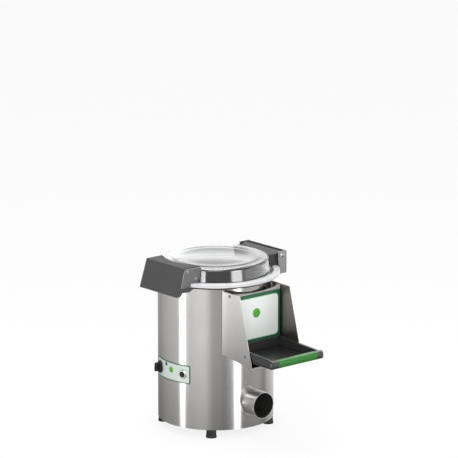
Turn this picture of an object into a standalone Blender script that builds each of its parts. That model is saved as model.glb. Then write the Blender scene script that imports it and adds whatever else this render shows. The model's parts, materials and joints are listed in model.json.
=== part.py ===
# Bench-top potato peeler: a steel drum with a turning abrasive disc, a hinged clear lid,
# a swinging discharge door with a bar handle, a drain pipe and a timer panel.
# Frame: metres, +Z up, discharge door towards -Y, lid handle towards -X, lid hinge towards +X.
# The origin is the centre of the base plate's underside, on the drum's axis.
import math

import bmesh
import bpy
from mathutils import Matrix, Vector

MM = 0.001

# Clearances and counts shared by all pieces
GAP = 0.3 * MM
RUNNING_GAP = 0.8 * MM
OVERRUN = 6 * MM
DRUM_STEPS = 60
DISC_STEPS = 48
ROUND_STEPS = 32
SMALL_STEPS = 16
FILLET_STEPS = 2
SMOOTH_ANGLE = math.radians(35)
MERGE_DISTANCE = 0.001 * MM

# Drum
DRUM_RADIUS = 165 * MM
DRUM_WALL = 1.5 * MM
DRUM_HEIGHT = 414 * MM
DRUM_INNER = DRUM_RADIUS - DRUM_WALL

# Distances from the drum's rim, which the pieces near it keep when its height changes
SEAL_STAND = 1.8 * MM
LINER_DROP = 12 * MM
INLET_DROP = 30 * MM
OUTLET_DROP = 44 * MM
HOOD_DROP = 9 * MM
HOOD_SLOPE = 1.5 * MM
DOOR_DROP = 12 * MM
PIVOT_DROP = 18 * MM
LABEL_DROP = 23 * MM
HINGE_RISE = 41.5 * MM
HINGE_DROP = 12 * MM
HANDLE_RISE = 59.5 * MM
HANDLE_DROP = 20 * MM
CHEEK_RISE = 4 * MM

# Base plate and feet
BASE_THICKNESS = 2.5 * MM
BASE_RIM_HEIGHT = 12 * MM
BASE_PAD_RADIUS = 90 * MM
BASE_PAD_DROP = 0.5 * MM
BASE_VENTS = 8
BASE_VENT_RING = 118 * MM
BASE_VENT_LENGTH = 40 * MM
BASE_VENT_WIDTH = 7 * MM
FOOT_HEIGHT = 24 * MM
FOOT_RADIUS = 15.5 * MM
FOOT_WAIST_RADIUS = 14 * MM
FOOT_LIP = 4 * MM
FOOT_RING = 150 * MM
FOOT_STUD_RADIUS = 4 * MM
FOOT_STUD_LENGTH = 10 * MM
FOOT_ANGLE = math.radians(45)

# Chamber and drain
FLOOR_LEVEL = 192 * MM
FLOOR_THICKNESS = 2 * MM
FLOOR_RIM_HEIGHT = 10 * MM
LINER_THICKNESS = 5.5 * MM
LINER_BOTTOM = 240 * MM
LINER_TOP = DRUM_HEIGHT - LINER_DROP
LINER_INNER = DRUM_INNER - GAP - LINER_THICKNESS
DRAIN_RADIUS = 38.05 * MM
DRAIN_WALL = 2 * MM
DRAIN_LEVEL = 71 * MM
DRAIN_REACH = 208 * MM
DRAIN_LEG = 112 * MM
DRAIN_BEND = 46 * MM
DRAIN_BEND_STEPS = 6

# Spindle, bearings and disc
SHAFT_RADIUS = 10 * MM
SHAFT_BOTTOM = 38 * MM
SHAFT_COLLAR_RADIUS = 15 * MM
BEARING_RADIUS = 21 * MM
BEARING_WIDTH = 12 * MM
HOUSING_RADIUS = 30 * MM
HOUSING_BOTTOM = 122 * MM
HOUSING_WEB = 3 * MM
HOUSING_FLANGE_RADIUS = 50 * MM
HOUSING_FLANGE_THICKNESS = 7 * MM
HOUSING_NECK_HEIGHT = 12 * MM
SEAL_WIDTH = 7 * MM
DISC_RADIUS = 150 * MM
DISC_BOTTOM = 224 * MM
DISC_THICKNESS = 9 * MM
DISC_HUB_RADIUS = 27 * MM
DISC_HUB_DEPTH = 12 * MM
DISC_EDGE_DROP = 6 * MM
COAT_THICKNESS = 4 * MM
WAVE_COUNT = 3
WAVE_LENGTH = 96 * MM
WAVE_WIDTH = 34 * MM
WAVE_HEIGHT = 9 * MM
WAVE_INSET = 6 * MM
NUT_RADIUS = 17 * MM
NUT_HEIGHT = 14 * MM

# Belt drive and motor
PULLEY_RADIUS = 66 * MM
PULLEY_RIM = 8 * MM
PULLEY_WEB = 6 * MM
PULLEY_HUB_RADIUS = 20 * MM
PULLEY_BOTTOM = 42 * MM
PULLEY_WIDTH = 15 * MM
PULLEY_LIP = 1.5 * MM
MOTOR_PULLEY_RADIUS = 18 * MM
MOTOR_OFFSET = 97 * MM
MOTOR_RADIUS = 51 * MM
MOTOR_BOTTOM = 66 * MM
MOTOR_TOP = 170 * MM
MOTOR_BELL = 14 * MM
MOTOR_NOSE_RADIUS = 22 * MM
MOTOR_SHAFT_RADIUS = 7 * MM
MOTOR_SHAFT_BOTTOM = 38 * MM
MOTOR_FINS = 18
MOTOR_FIN_DEPTH = 3 * MM
BELT_THICKNESS = 4 * MM
BELT_WIDTH = 11 * MM
BRACKET_SHEET = 3 * MM
MOTOR_BRACKET_HALF = 58 * MM
MOTOR_BRACKET_FRONT = 52 * MM
MOTOR_BRACKET_BACK = 146 * MM

# Electrics
CAPACITOR_RADIUS = 17.5 * MM
CAPACITOR_HEIGHT = 78 * MM
CAPACITOR_PLACE = (-96 * MM, 48 * MM)
CONTROL_BOX_SIZE = (44 * MM, 92 * MM, 62 * MM)
CONTROL_BOX_PLACE = (112 * MM, 10 * MM)
CONTROL_BOX_RADIUS = 4 * MM
GLAND_ANGLE = math.radians(152)
GLAND_LEVEL = 38 * MM
GLAND_THREAD_RADIUS = 8 * MM
GLAND_NUT_RADIUS = 12 * MM
GLAND_LENGTH = 24 * MM
GLAND_BORE = 4 * MM
GLAND_FLANGE = 5 * MM
INLET_ANGLE = math.radians(165)
INLET_LEVEL = DRUM_HEIGHT - INLET_DROP
INLET_RADIUS = 10 * MM
INLET_BORE = 6 * MM
INLET_LENGTH = 34 * MM
INLET_FLANGE_RADIUS = 16 * MM
INLET_FLANGE = 4 * MM
INLET_BARBS = 3
VENT_COUNT = 5
VENT_ANGLE = math.radians(205)
VENT_PITCH = math.radians(5)
VENT_LEVEL = 96 * MM
VENT_HEIGHT = 46 * MM
VENT_WIDTH = 5 * MM

# Control panel, timer knob and start button
PANEL_ANGLE = math.radians(-92)
PANEL_HALF_ARC = math.radians(26)
PANEL_LEVEL = 157 * MM
PANEL_HEIGHT = 53 * MM
PANEL_THICKNESS = 0.8 * MM
CONTROL_SPREAD = math.radians(18)
KNOB_RADIUS = 18 * MM
KNOB_SKIRT = 4 * MM
KNOB_DEPTH = 18 * MM
KNOB_GRIP_WIDTH = 9 * MM
KNOB_DISH_RADIUS = 14.5 * MM
TIMER_SHAFT_RADIUS = 3 * MM
TIMER_BUSH_RADIUS = 5 * MM
TIMER_SIZE = (42 * MM, 42 * MM, 30 * MM)
BEZEL_RADIUS = 13 * MM
BEZEL_HEIGHT = 5 * MM
BEZEL_BARREL_RADIUS = 10.5 * MM
BEZEL_BORE = 9 * MM
BEZEL_BARREL_LENGTH = 14 * MM
BUTTON_PROUD = 1.5 * MM
BUTTON_TRAVEL = 3 * MM
SWITCH_SIZE = (30 * MM, 30 * MM, 24 * MM)

# Discharge outlet, hood and chute
OUTLET_HALF_WIDTH = 76 * MM
OUTLET_BOTTOM = 232 * MM
OUTLET_TOP = DRUM_HEIGHT - OUTLET_DROP
OUTLET_WALL = 2 * MM
OUTLET_LIP = 6 * MM
SEAL_THICKNESS = 2.2 * MM
HOOD_HALF_WIDTH = 92.5 * MM
HOOD_SHEET = 1.5 * MM
HOOD_TOP = DRUM_HEIGHT - HOOD_DROP
HOOD_TOP_FRONT = HOOD_TOP - HOOD_SLOPE
HOOD_BOTTOM = 222 * MM
HOOD_BOTTOM_FRONT = 204 * MM
HOOD_TOP_REACH = 212.5 * MM
HOOD_BOTTOM_REACH = 265.5 * MM
CHUTE_LIFT = 1.5 * MM
CHUTE_INSET = 4 * MM
CHUTE_LIP = 7 * MM
CATCH_INSET = 29.5 * MM
CATCH_REACH = HOOD_BOTTOM_REACH - CATCH_INSET
CATCH_LEVEL = 236 * MM
SCREW_HEAD_RADIUS = 4.5 * MM
SCREW_HEAD_HEIGHT = 2.5 * MM
SCREW_RADIUS = 2.5 * MM
WASHER_RADIUS = 5 * MM

# Discharge door and its bar handle
DOOR_FACE = 176 * MM
DOOR_THICKNESS = 3 * MM
DOOR_HALF_WIDTH = 88.5 * MM
DOOR_FLANGE = 12 * MM
DOOR_BOTTOM = 221 * MM
DOOR_LIFT = 2.5 * MM
DOOR_TOP = DRUM_HEIGHT - DOOR_DROP
DOOR_TOP_SAG = 8 * MM
PIVOT_REACH = 170 * MM
PIVOT_LEVEL = DRUM_HEIGHT - PIVOT_DROP
PIVOT_STUB = 7 * MM
LABEL_HALF_WIDTH = 87.5 * MM
LABEL_BOTTOM = 254 * MM
LABEL_TOP = DRUM_HEIGHT - LABEL_DROP
LABEL_THICKNESS = 0.7 * MM
LABEL_CORNER = 8 * MM
HANDLE_ARM = 7 * MM
HANDLE_FLOOR_THICKNESS = 3 * MM
HANDLE_ARM_TOP = 253.5 * MM
HANDLE_BACK = 2 * MM
HANDLE_BACK_TOP = 252 * MM
BAR_REACH = 345 * MM
BAR_LEVEL = 234 * MM
BAR_HEIGHT = 24 * MM
BAR_DEPTH = 20 * MM
BAR_CORNER = 8 * MM
BAR_HALF_WIDTH = 92.4 * MM
GRIP_HALF_WIDTH = 70 * MM
BAR_SCREW_RADIUS = 5 * MM
BAR_SCREW_TIP = 56 * MM

# Lid
SEAL_TOP = DRUM_HEIGHT + SEAL_STAND
SEAL_LEG = 5 * MM
SEAL_COVER = 1.2 * MM
RING_THICKNESS = 11 * MM
RING_RADIUS = 181.8 * MM
RING_INNER = 150 * MM
RING_REBATE = 3.5 * MM
RING_ROUND = 2.5 * MM
DOME_FLANGE_RADIUS = 164 * MM
DOME_WALL = 3 * MM
DOME_FOOT_RADIUS = 157 * MM
DOME_SHOULDER_RADIUS = 151 * MM
DOME_HEIGHT = 38.5 * MM
DOME_SHOULDER_ROUND = 8 * MM
DOME_STEP_RADIUS = 119 * MM
DOME_STEP = 1.6 * MM
DOME_CROWN = 3.5 * MM
CROWN_SHARES = (0.5, 0)

# Lid hinge
HINGE_X = 177 * MM
HINGE_LEVEL = DRUM_HEIGHT + HINGE_RISE
HINGE_HALF_WIDTH = 84 * MM
HINGE_OUTER = 193.5 * MM
HINGE_BOTTOM = DRUM_HEIGHT - HINGE_DROP
HINGE_COVER = 11.5 * MM
HINGE_TOP = HINGE_LEVEL + HINGE_COVER
HINGE_CHEEK_TOP = 160.5 * MM
HINGE_CHEEK_BOTTOM = 166 * MM
HINGE_PIN_RADIUS = 4 * MM
HINGE_HEAD_RADIUS = 8 * MM
HINGE_HEAD_HEIGHT = 3.5 * MM
ARM_BARREL_RADIUS = 10 * MM
ARM_HALF_WIDTH = 76 * MM
ARM_INNER = 128 * MM
ARM_COVER = 5.5 * MM
ARM_TOP = HINGE_LEVEL + ARM_COVER
ARM_PAD = 8 * MM

# Lid handle
HANDLE_HALF_WIDTH = 82 * MM
HANDLE_WALL = 3 * MM
HANDLE_TOP = DRUM_HEIGHT + HANDLE_RISE
HANDLE_BOTTOM = DRUM_HEIGHT - HANDLE_DROP
HANDLE_OVERHANG = 15.2 * MM
HANDLE_SKIRT_OUTER = RING_RADIUS + HANDLE_OVERHANG
HANDLE_FOOT = 15 * MM
HANDLE_LEAN = 11 * MM
HANDLE_TOP_OUTER = HANDLE_SKIRT_OUTER - HANDLE_LEAN
HANDLE_BOTTOM_OUTER = HANDLE_SKIRT_OUTER + HANDLE_FOOT
HANDLE_STEP = 9 * MM
HANDLE_SKIRT_INNER = 164 * MM
HANDLE_INNER = 112 * MM
HANDLE_DRUM_GAP = 3 * MM
CHEEK_SHEET = 2 * MM
CHEEK_MARGIN = 3.5 * MM
CHEEK_TOP = HANDLE_TOP - CHEEK_MARGIN
CHEEK_BOTTOM = DRUM_HEIGHT + CHEEK_RISE
CHEEK_TOP_OUTER = HANDLE_TOP_OUTER - HANDLE_WALL
CHEEK_BOTTOM_OUTER = HANDLE_SKIRT_OUTER
CHEEK_SCREWS = ((172.5 * MM, 48 * MM), (143 * MM, 24.5 * MM))
CHEEK_SCREW_RADIUS = 3.8 * MM
CHEEK_SCREW_HEIGHT = 1.8 * MM
SENSOR_SIZE = (24 * MM, 12 * MM)
SENSOR_Y = 60 * MM
SENSOR_STAND = 12 * MM
SENSOR_REACH = DRUM_RADIUS + SENSOR_STAND
SENSOR_LIFT = 1 * MM
SENSOR_LEVEL = HANDLE_BOTTOM + SENSOR_LIFT
MAGNET_DEPTH = 5 * MM
MAGNET_REACH = HANDLE_SKIRT_OUTER - MAGNET_DEPTH

# Levels that follow from the sizes above
RING_BOTTOM = SEAL_TOP + GAP
RING_TOP = RING_BOTTOM + RING_THICKNESS
FLOOR_BOTTOM = FLOOR_LEVEL - FLOOR_THICKNESS
DISC_TOP = DISC_BOTTOM + DISC_THICKNESS
COAT_TOP = DISC_TOP + GAP + COAT_THICKNESS
PANEL_RADIUS = DRUM_RADIUS + GAP
PANEL_OUTER = PANEL_RADIUS + PANEL_THICKNESS
HOOD_INNER = HOOD_HALF_WIDTH - HOOD_SHEET
HANDLE_FLOOR = DOOR_BOTTOM + HANDLE_FLOOR_THICKNESS
BASE_TOP = BASE_PAD_DROP + BASE_THICKNESS


def clear_scene():
    for old in list(bpy.data.objects):
        bpy.data.objects.remove(old, do_unlink=True)


def finish(name, colour, roughness, metallic=0.0, alpha=1.0):
    made = bpy.data.materials.new(name)
    made.use_nodes = True
    shader = made.node_tree.nodes["Principled BSDF"]
    shader.inputs["Base Color"].default_value = (*colour, 1.0)
    shader.inputs["Roughness"].default_value = roughness
    shader.inputs["Metallic"].default_value = metallic
    shader.inputs["Alpha"].default_value = alpha
    return made


def piece(name, bm, look):
    """Turn a bmesh into a named object with its faces pointing out."""
    bmesh.ops.remove_doubles(bm, verts=bm.verts, dist=MERGE_DISTANCE)
    bmesh.ops.recalc_face_normals(bm, faces=bm.faces)
    mesh = bpy.data.meshes.new(name)
    bm.to_mesh(mesh)
    bm.free()
    mesh.shade_smooth()
    mesh.set_sharp_from_angle(angle=SMOOTH_ANGLE)
    made = bpy.data.objects.new(name, mesh)
    bpy.context.scene.collection.objects.link(made)
    if look is not None:
        mesh.materials.append(look)
    return made


def on_drum(angle, radius, level):
    """Frame on the drum's wall: local +Z points outwards, local +Y points up."""
    out = Vector((math.sin(angle), -math.cos(angle), 0))
    up = Vector((0, 0, 1))
    side = up.cross(out)
    turn = Matrix((side, up, out)).transposed().to_4x4()
    return Matrix.Translation(out * radius + up * level) @ turn


def along(axis, centre=(0, 0, 0)):
    """Frame whose local +Z points along the given axis."""
    turn = Vector((0, 0, 1)).rotation_difference(Vector(axis)).to_matrix().to_4x4()
    return Matrix.Translation(centre) @ turn


def turned(name, outline, look, steps=ROUND_STEPS, frame=Matrix()):
    """A closed outline of (radius, height) points, turned about local Z."""
    bm = bmesh.new()
    corners = [bm.verts.new((radius, 0, height)) for radius, height in outline]
    edges = []
    for here, there in zip(corners, corners[1:] + corners[:1]):
        if here.co.x > 0 or there.co.x > 0:
            edges.append(bm.edges.new((here, there)))
    bmesh.ops.spin(
        bm,
        geom=corners + edges,
        cent=(0, 0, 0),
        axis=(0, 0, 1),
        angle=math.tau,
        steps=steps,
        use_merge=True,
    )
    made = piece(name, bm, look)
    made.matrix_world = frame
    return made


def prism(name, outline, low, high, look, plane="XY", frame=Matrix()):
    """A flat outline pushed along the axis square to its plane, from low to high."""
    spots = {
        "XY": lambda a, b, c: (a, b, c),
        "XZ": lambda a, b, c: (a, c, b),
        "YZ": lambda a, b, c: (c, a, b),
    }[plane]
    bm = bmesh.new()
    face = bm.faces.new([bm.verts.new(spots(a, b, low)) for a, b in outline])
    pushed = bmesh.ops.extrude_face_region(bm, geom=[face], use_keep_orig=True)
    moved = [part for part in pushed["geom"] if isinstance(part, bmesh.types.BMVert)]
    bmesh.ops.translate(bm, verts=moved, vec=spots(0, 0, high - low))
    made = piece(name, bm, look)
    made.matrix_world = frame
    return made


def block(name, low, high, look, frame=Matrix()):
    outline = [(low[0], low[1]), (high[0], low[1]), (high[0], high[1]), (low[0], high[1])]
    return prism(name, outline, low[2], high[2], look, frame=frame)


def rounded(outline, radius, steps=FILLET_STEPS):
    """The same outline with every corner replaced by an arc."""
    result = []
    for index, corner in enumerate(outline):
        here = Vector(corner)
        before = (Vector(outline[index - 1]) - here).normalized()
        after = (Vector(outline[(index + 1) % len(outline)]) - here).normalized()
        half = before.angle(after) / 2
        reach = radius / math.tan(half)
        centre = here + (before + after).normalized() * (radius / math.sin(half))
        start = here + before * reach - centre
        sweep = start.angle_signed(here + after * reach - centre)
        for step in range(steps + 1):
            turn = Matrix.Rotation(-sweep * step / steps, 2)
            result.append(tuple(centre + turn @ start))
    return result


def hide(tool):
    tool.hide_render = True
    tool.display_type = "WIRE"
    return tool


def shape(target, operation, tools):
    for tool in tools:
        hide(tool)
        step = target.modifiers.new(tool.name, "BOOLEAN")
        step.operation = operation
        step.solver = "EXACT"
        step.object = tool
    return target


def cut(target, *tools):
    return shape(target, "DIFFERENCE", tools)


def join(target, *tools):
    return shape(target, "UNION", tools)


def axis_empty(name, centre, moved):
    """An empty on a joint's axis that carries the pieces of one moving body."""
    carrier = bpy.data.objects.new(name, None)
    carrier.location = centre
    bpy.context.scene.collection.objects.link(carrier)
    bpy.context.view_layer.update()
    for part in moved:
        part.parent = carrier
        part.matrix_parent_inverse = carrier.matrix_world.inverted()
    return carrier


def circle_reach(radius, offset):
    """Distance along one axis to a circle, at an offset along the other."""
    return math.sqrt(radius * radius - offset * offset)


clear_scene()

STEEL = finish("brushed_steel", (0.56, 0.55, 0.54), 0.35, 1.0)
DARK_STEEL = finish("zinc_steel", (0.42, 0.42, 0.42), 0.45, 1.0)
RUBBER = finish("black_rubber", (0.012, 0.012, 0.012), 0.75)
GREY_PLASTIC = finish("grey_plastic", (0.1, 0.1, 0.1), 0.5)
BRACKET_GREY = finish("grey_paint", (0.18, 0.18, 0.18), 0.45)
BLACK_PLASTIC = finish("black_plastic", (0.015, 0.015, 0.015), 0.4)
GREEN_PLASTIC = finish("green_plastic", (0.017, 0.22, 0.012), 0.4)
WHITE_PLASTIC = finish("white_plastic", (0.8, 0.8, 0.8), 0.35)
CLEAR_PLASTIC = finish("clear_plastic", (0.9, 0.92, 0.92), 0.08, 0.0, 0.35)
LABEL_FILM = finish("label_film", (0.72, 0.73, 0.74), 0.35)
ABRASIVE = finish("abrasive_grit", (0.09, 0.085, 0.08), 0.95)
CAST_METAL = finish("cast_aluminium", (0.45, 0.45, 0.46), 0.5, 1.0)
CHROME = finish("chrome", (0.7, 0.7, 0.7), 0.12, 1.0)
MOTOR_PAINT = finish("motor_paint", (0.06, 0.07, 0.08), 0.55)


def rod(name, radius, low, high, look, steps=ROUND_STEPS, frame=Matrix()):
    outline = [(0, low), (radius, low), (radius, high), (0, high)]
    return turned(name, outline, look, steps, frame)


def ring(name, inner, outer, low, high, look, steps=ROUND_STEPS, frame=Matrix()):
    outline = [(inner, low), (outer, low), (outer, high), (inner, high)]
    return turned(name, outline, look, steps, frame)


def arc(centre, radius, start, stop, steps):
    angles = [start + (stop - start) * step / steps for step in range(steps + 1)]
    return [(centre[0] + radius * math.cos(a), centre[1] + radius * math.sin(a)) for a in angles]


def lofted(name, sections, look):
    """Skin a row of equal-sized closed sections and close both ends."""
    bm = bmesh.new()
    rows = [[bm.verts.new(spot) for spot in section] for section in sections]
    for near, far in zip(rows, rows[1:]):
        for index in range(len(near)):
            bm.faces.new((near[index - 1], near[index], far[index], far[index - 1]))
    bm.faces.new(rows[0])
    bm.faces.new(rows[-1])
    return piece(name, bm, look)


def drum_cutter(name, extra, low, high):
    """A cylinder that follows the drum's wall at a distance."""
    return rod(name, DRUM_RADIUS + extra, low, high, None, DRUM_STEPS)


# Base plate: a shallow steel pan with cooling slots and four holes for the feet's studs
def base_plate():
    outer = DRUM_INNER - GAP
    outline = [
        (0, 0),
        (BASE_PAD_RADIUS, 0),
        (BASE_PAD_RADIUS, BASE_PAD_DROP),
        (outer, BASE_PAD_DROP),
        (outer, BASE_RIM_HEIGHT),
        (outer - BASE_THICKNESS, BASE_RIM_HEIGHT),
        (outer - BASE_THICKNESS, BASE_TOP),
        (BASE_PAD_RADIUS - BASE_THICKNESS, BASE_TOP),
        (BASE_PAD_RADIUS - BASE_THICKNESS, BASE_THICKNESS),
        (0, BASE_THICKNESS),
    ]
    plate = turned("base_plate", outline, DARK_STEEL, DRUM_STEPS)
    tools = []
    slot = rounded_slot(BASE_VENT_LENGTH, BASE_VENT_WIDTH)
    for index in range(BASE_VENTS):
        turn = Matrix.Rotation(math.tau * (index + 1 / 2) / BASE_VENTS, 4, "Z")
        frame = turn @ Matrix.Translation((BASE_VENT_RING, 0, 0))
        tools.append(prism(f"base_vent_{index}", slot, -OVERRUN, OVERRUN, None, frame=frame))
    for index, (x, y) in enumerate(foot_places()):
        hole = rod(f"foot_hole_{index}", FOOT_STUD_RADIUS + GAP, -OVERRUN, OVERRUN, None, SMALL_STEPS)
        hole.location = (x, y, 0)
        hole.rotation_euler.z = math.pi / SMALL_STEPS
        tools.append(hole)
    return cut(plate, *tools)


def rounded_slot(length, width):
    half = width / 2
    run = length / 2 - half
    steps = SMALL_STEPS // 4
    right = arc((run, 0), half, -math.pi / 2, math.pi / 2, steps)
    left = arc((-run, 0), half, math.pi / 2, 3 * math.pi / 2, steps)
    return right + left


def foot_places():
    quarter = math.pi / 2
    angles = [FOOT_ANGLE + quarter * index for index in range(4)]
    return [(FOOT_RING * math.sin(a), -FOOT_RING * math.cos(a)) for a in angles]


# Rubber feet, each moulded on a threaded stud
def feet():
    outline = [
        (0, -FOOT_HEIGHT),
        (FOOT_RADIUS - GAP, -FOOT_HEIGHT),
        (FOOT_RADIUS, -FOOT_HEIGHT + FOOT_LIP / 4),
        (FOOT_RADIUS, -FOOT_HEIGHT + FOOT_LIP),
        (FOOT_WAIST_RADIUS, -FOOT_HEIGHT + FOOT_LIP + GAP),
        (FOOT_WAIST_RADIUS, -GAP),
        (FOOT_STUD_RADIUS, -GAP),
        (FOOT_STUD_RADIUS, FOOT_STUD_LENGTH),
        (0, FOOT_STUD_LENGTH),
    ]
    names = ("front_right", "rear_right", "rear_left", "front_left")
    for name, (x, y) in zip(names, foot_places()):
        turned(f"foot_{name}", outline, RUBBER).location = (x, y, 0)


# Drum shell: a rolled steel cylinder with openings for all that passes through its wall
def drum_shell():
    shell = ring("drum_shell", DRUM_INNER, DRUM_RADIUS, 0, DRUM_HEIGHT, STEEL, DRUM_STEPS)
    tools = [outlet_cutter("shell_outlet_hole")]
    low = LINER_INNER / 2
    frame = along((0, -1, 0), (0, 0, DRAIN_LEVEL))
    tools.append(rod("shell_drain_hole", DRAIN_RADIUS + GAP, low, DRAIN_REACH, None, frame=frame))
    for name, angle, level, radius in (
        ("shell_timer_hole", PANEL_ANGLE - CONTROL_SPREAD, PANEL_LEVEL, TIMER_BUSH_RADIUS),
        ("shell_button_hole", PANEL_ANGLE + CONTROL_SPREAD, PANEL_LEVEL, BEZEL_BARREL_RADIUS),
        ("shell_gland_hole", GLAND_ANGLE, GLAND_LEVEL, GLAND_THREAD_RADIUS),
        ("shell_inlet_hole", INLET_ANGLE, INLET_LEVEL, INLET_RADIUS),
    ):
        tools.append(wall_hole(name, angle, level, radius + GAP))
    slot = rounded_slot(VENT_HEIGHT, VENT_WIDTH)
    upright = Matrix.Rotation(math.pi / 2, 4, "Z")
    for index in range(VENT_COUNT):
        angle = VENT_ANGLE + VENT_PITCH * index
        frame = on_drum(angle, DRUM_RADIUS, VENT_LEVEL) @ upright
        tools.append(prism(f"vent_hole_{index}", slot, -OVERRUN, OVERRUN, None, frame=frame))
    return cut(shell, *tools)


def wall_hole(name, angle, level, radius):
    frame = on_drum(angle, DRUM_RADIUS, level)
    return rod(name, radius, -OVERRUN - LINER_THICKNESS, OVERRUN, None, SMALL_STEPS, frame)


def outlet_cutter(name):
    half = OUTLET_HALF_WIDTH + GAP
    low = (-half, -DRUM_RADIUS - OVERRUN, OUTLET_BOTTOM - GAP)
    high = (half, -LINER_INNER / 2, OUTLET_TOP + GAP)
    return block(name, low, high, None)


# Chamber: floor pan, abrasive wall liner and the pipe that drains it
def chamber():
    outer = DRUM_INNER - GAP
    outline = [
        (0, FLOOR_BOTTOM),
        (outer, FLOOR_BOTTOM),
        (outer, FLOOR_LEVEL + FLOOR_RIM_HEIGHT),
        (outer - FLOOR_THICKNESS, FLOOR_LEVEL + FLOOR_RIM_HEIGHT),
        (outer - FLOOR_THICKNESS, FLOOR_LEVEL),
        (0, FLOOR_LEVEL),
    ]
    floor = turned("chamber_floor", outline, STEEL, DRUM_STEPS)
    low = FLOOR_BOTTOM - OVERRUN
    high = FLOOR_LEVEL + OVERRUN
    neck = rod("floor_neck_hole", HOUSING_NECK + GAP, low, high, None)
    frame = Matrix.Translation((0, -DRAIN_LEG, 0))
    leg = rod("floor_drain_hole", DRAIN_RADIUS + GAP, low, high, None, frame=frame)
    cut(floor, neck, leg)

    low = LINER_BOTTOM
    liner = ring("abrasive_liner", LINER_INNER, outer, low, LINER_TOP, ABRASIVE, DRUM_STEPS)
    inlet = wall_hole("liner_inlet_hole", INLET_ANGLE, INLET_LEVEL, INLET_RADIUS + GAP)
    cut(liner, outlet_cutter("liner_outlet_hole"), inlet)

    pipe = bent_rod("drain_pipe", DRAIN_RADIUS, FLOOR_LEVEL, DRAIN_REACH, STEEL)
    inner = DRAIN_RADIUS - DRAIN_WALL
    bore = bent_rod("drain_bore", inner, FLOOR_LEVEL + OVERRUN, DRAIN_REACH + OVERRUN, None)
    cut(pipe, bore)


def bent_rod(name, radius, top, reach, look):
    """A leg going down from the chamber floor, a bend, and a run out to the front."""
    stations = [((0, -DRAIN_LEG, top), 0)]
    for step in range(DRAIN_BEND_STEPS + 1):
        angle = math.pi / 2 * step / DRAIN_BEND_STEPS
        y = -DRAIN_LEG - DRAIN_BEND + DRAIN_BEND * math.cos(angle)
        z = DRAIN_LEVEL + DRAIN_BEND - DRAIN_BEND * math.sin(angle)
        stations.append(((0, y, z), angle))
    stations.append(((0, -reach, DRAIN_LEVEL), math.pi / 2))
    sections = []
    for centre, angle in stations:
        across = Vector((0, math.cos(angle), -math.sin(angle)))
        section = []
        for x, y in arc((0, 0), radius, 0, math.tau, ROUND_STEPS)[:-1]:
            section.append(Vector(centre) + Vector((x, 0, 0)) + across * y)
        sections.append(section)
    return lofted(name, sections, look)


# Spindle: bearing housing under the chamber floor, two bearings, a seal, shaft, pulley and disc
HOUSING_NECK = BEARING_RADIUS + HOUSING_WEB
LOWER_BEARING = HOUSING_BOTTOM + GAP
UPPER_BEARING = FLOOR_BOTTOM - SEAL_WIDTH - BEARING_WIDTH - GAP
NECK_TOP = FLOOR_LEVEL + HOUSING_NECK_HEIGHT
COLLAR_BOTTOM = NECK_TOP + RUNNING_GAP
HUB_BOTTOM = DISC_BOTTOM - DISC_HUB_DEPTH


def bearing_unit():
    bore = BEARING_RADIUS + GAP
    shoulder = BEARING_RADIUS - HOUSING_WEB
    flange_top = FLOOR_BOTTOM - GAP
    flange_bottom = flange_top - HOUSING_FLANGE_THICKNESS
    lower_seat = LOWER_BEARING + BEARING_WIDTH + GAP
    upper_seat = UPPER_BEARING - GAP
    seal_top = UPPER_BEARING + BEARING_WIDTH + SEAL_WIDTH + GAP + GAP
    outline = [
        (bore, HOUSING_BOTTOM),
        (HOUSING_RADIUS, HOUSING_BOTTOM),
        (HOUSING_RADIUS, flange_bottom - HOUSING_WEB),
        (HOUSING_RADIUS + HOUSING_WEB, flange_bottom),
        (HOUSING_FLANGE_RADIUS, flange_bottom),
        (HOUSING_FLANGE_RADIUS, flange_top),
        (HOUSING_NECK, flange_top),
        (HOUSING_NECK, NECK_TOP),
        (SHAFT_RADIUS + HOUSING_WEB, NECK_TOP),
        (SHAFT_RADIUS + HOUSING_WEB, seal_top),
        (bore, seal_top),
        (bore, upper_seat),
        (shoulder, upper_seat),
        (shoulder, lower_seat),
        (bore, lower_seat),
    ]
    turned("bearing_housing", outline, CAST_METAL)
    inner = SHAFT_RADIUS + GAP
    for name, low in (("lower_bearing", LOWER_BEARING), ("upper_bearing", UPPER_BEARING)):
        ring(name, inner, BEARING_RADIUS, low, low + BEARING_WIDTH, CHROME)
    seal_low = UPPER_BEARING + BEARING_WIDTH + GAP
    ring("shaft_seal", inner, BEARING_RADIUS, seal_low, seal_low + SEAL_WIDTH, RUBBER)


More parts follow.
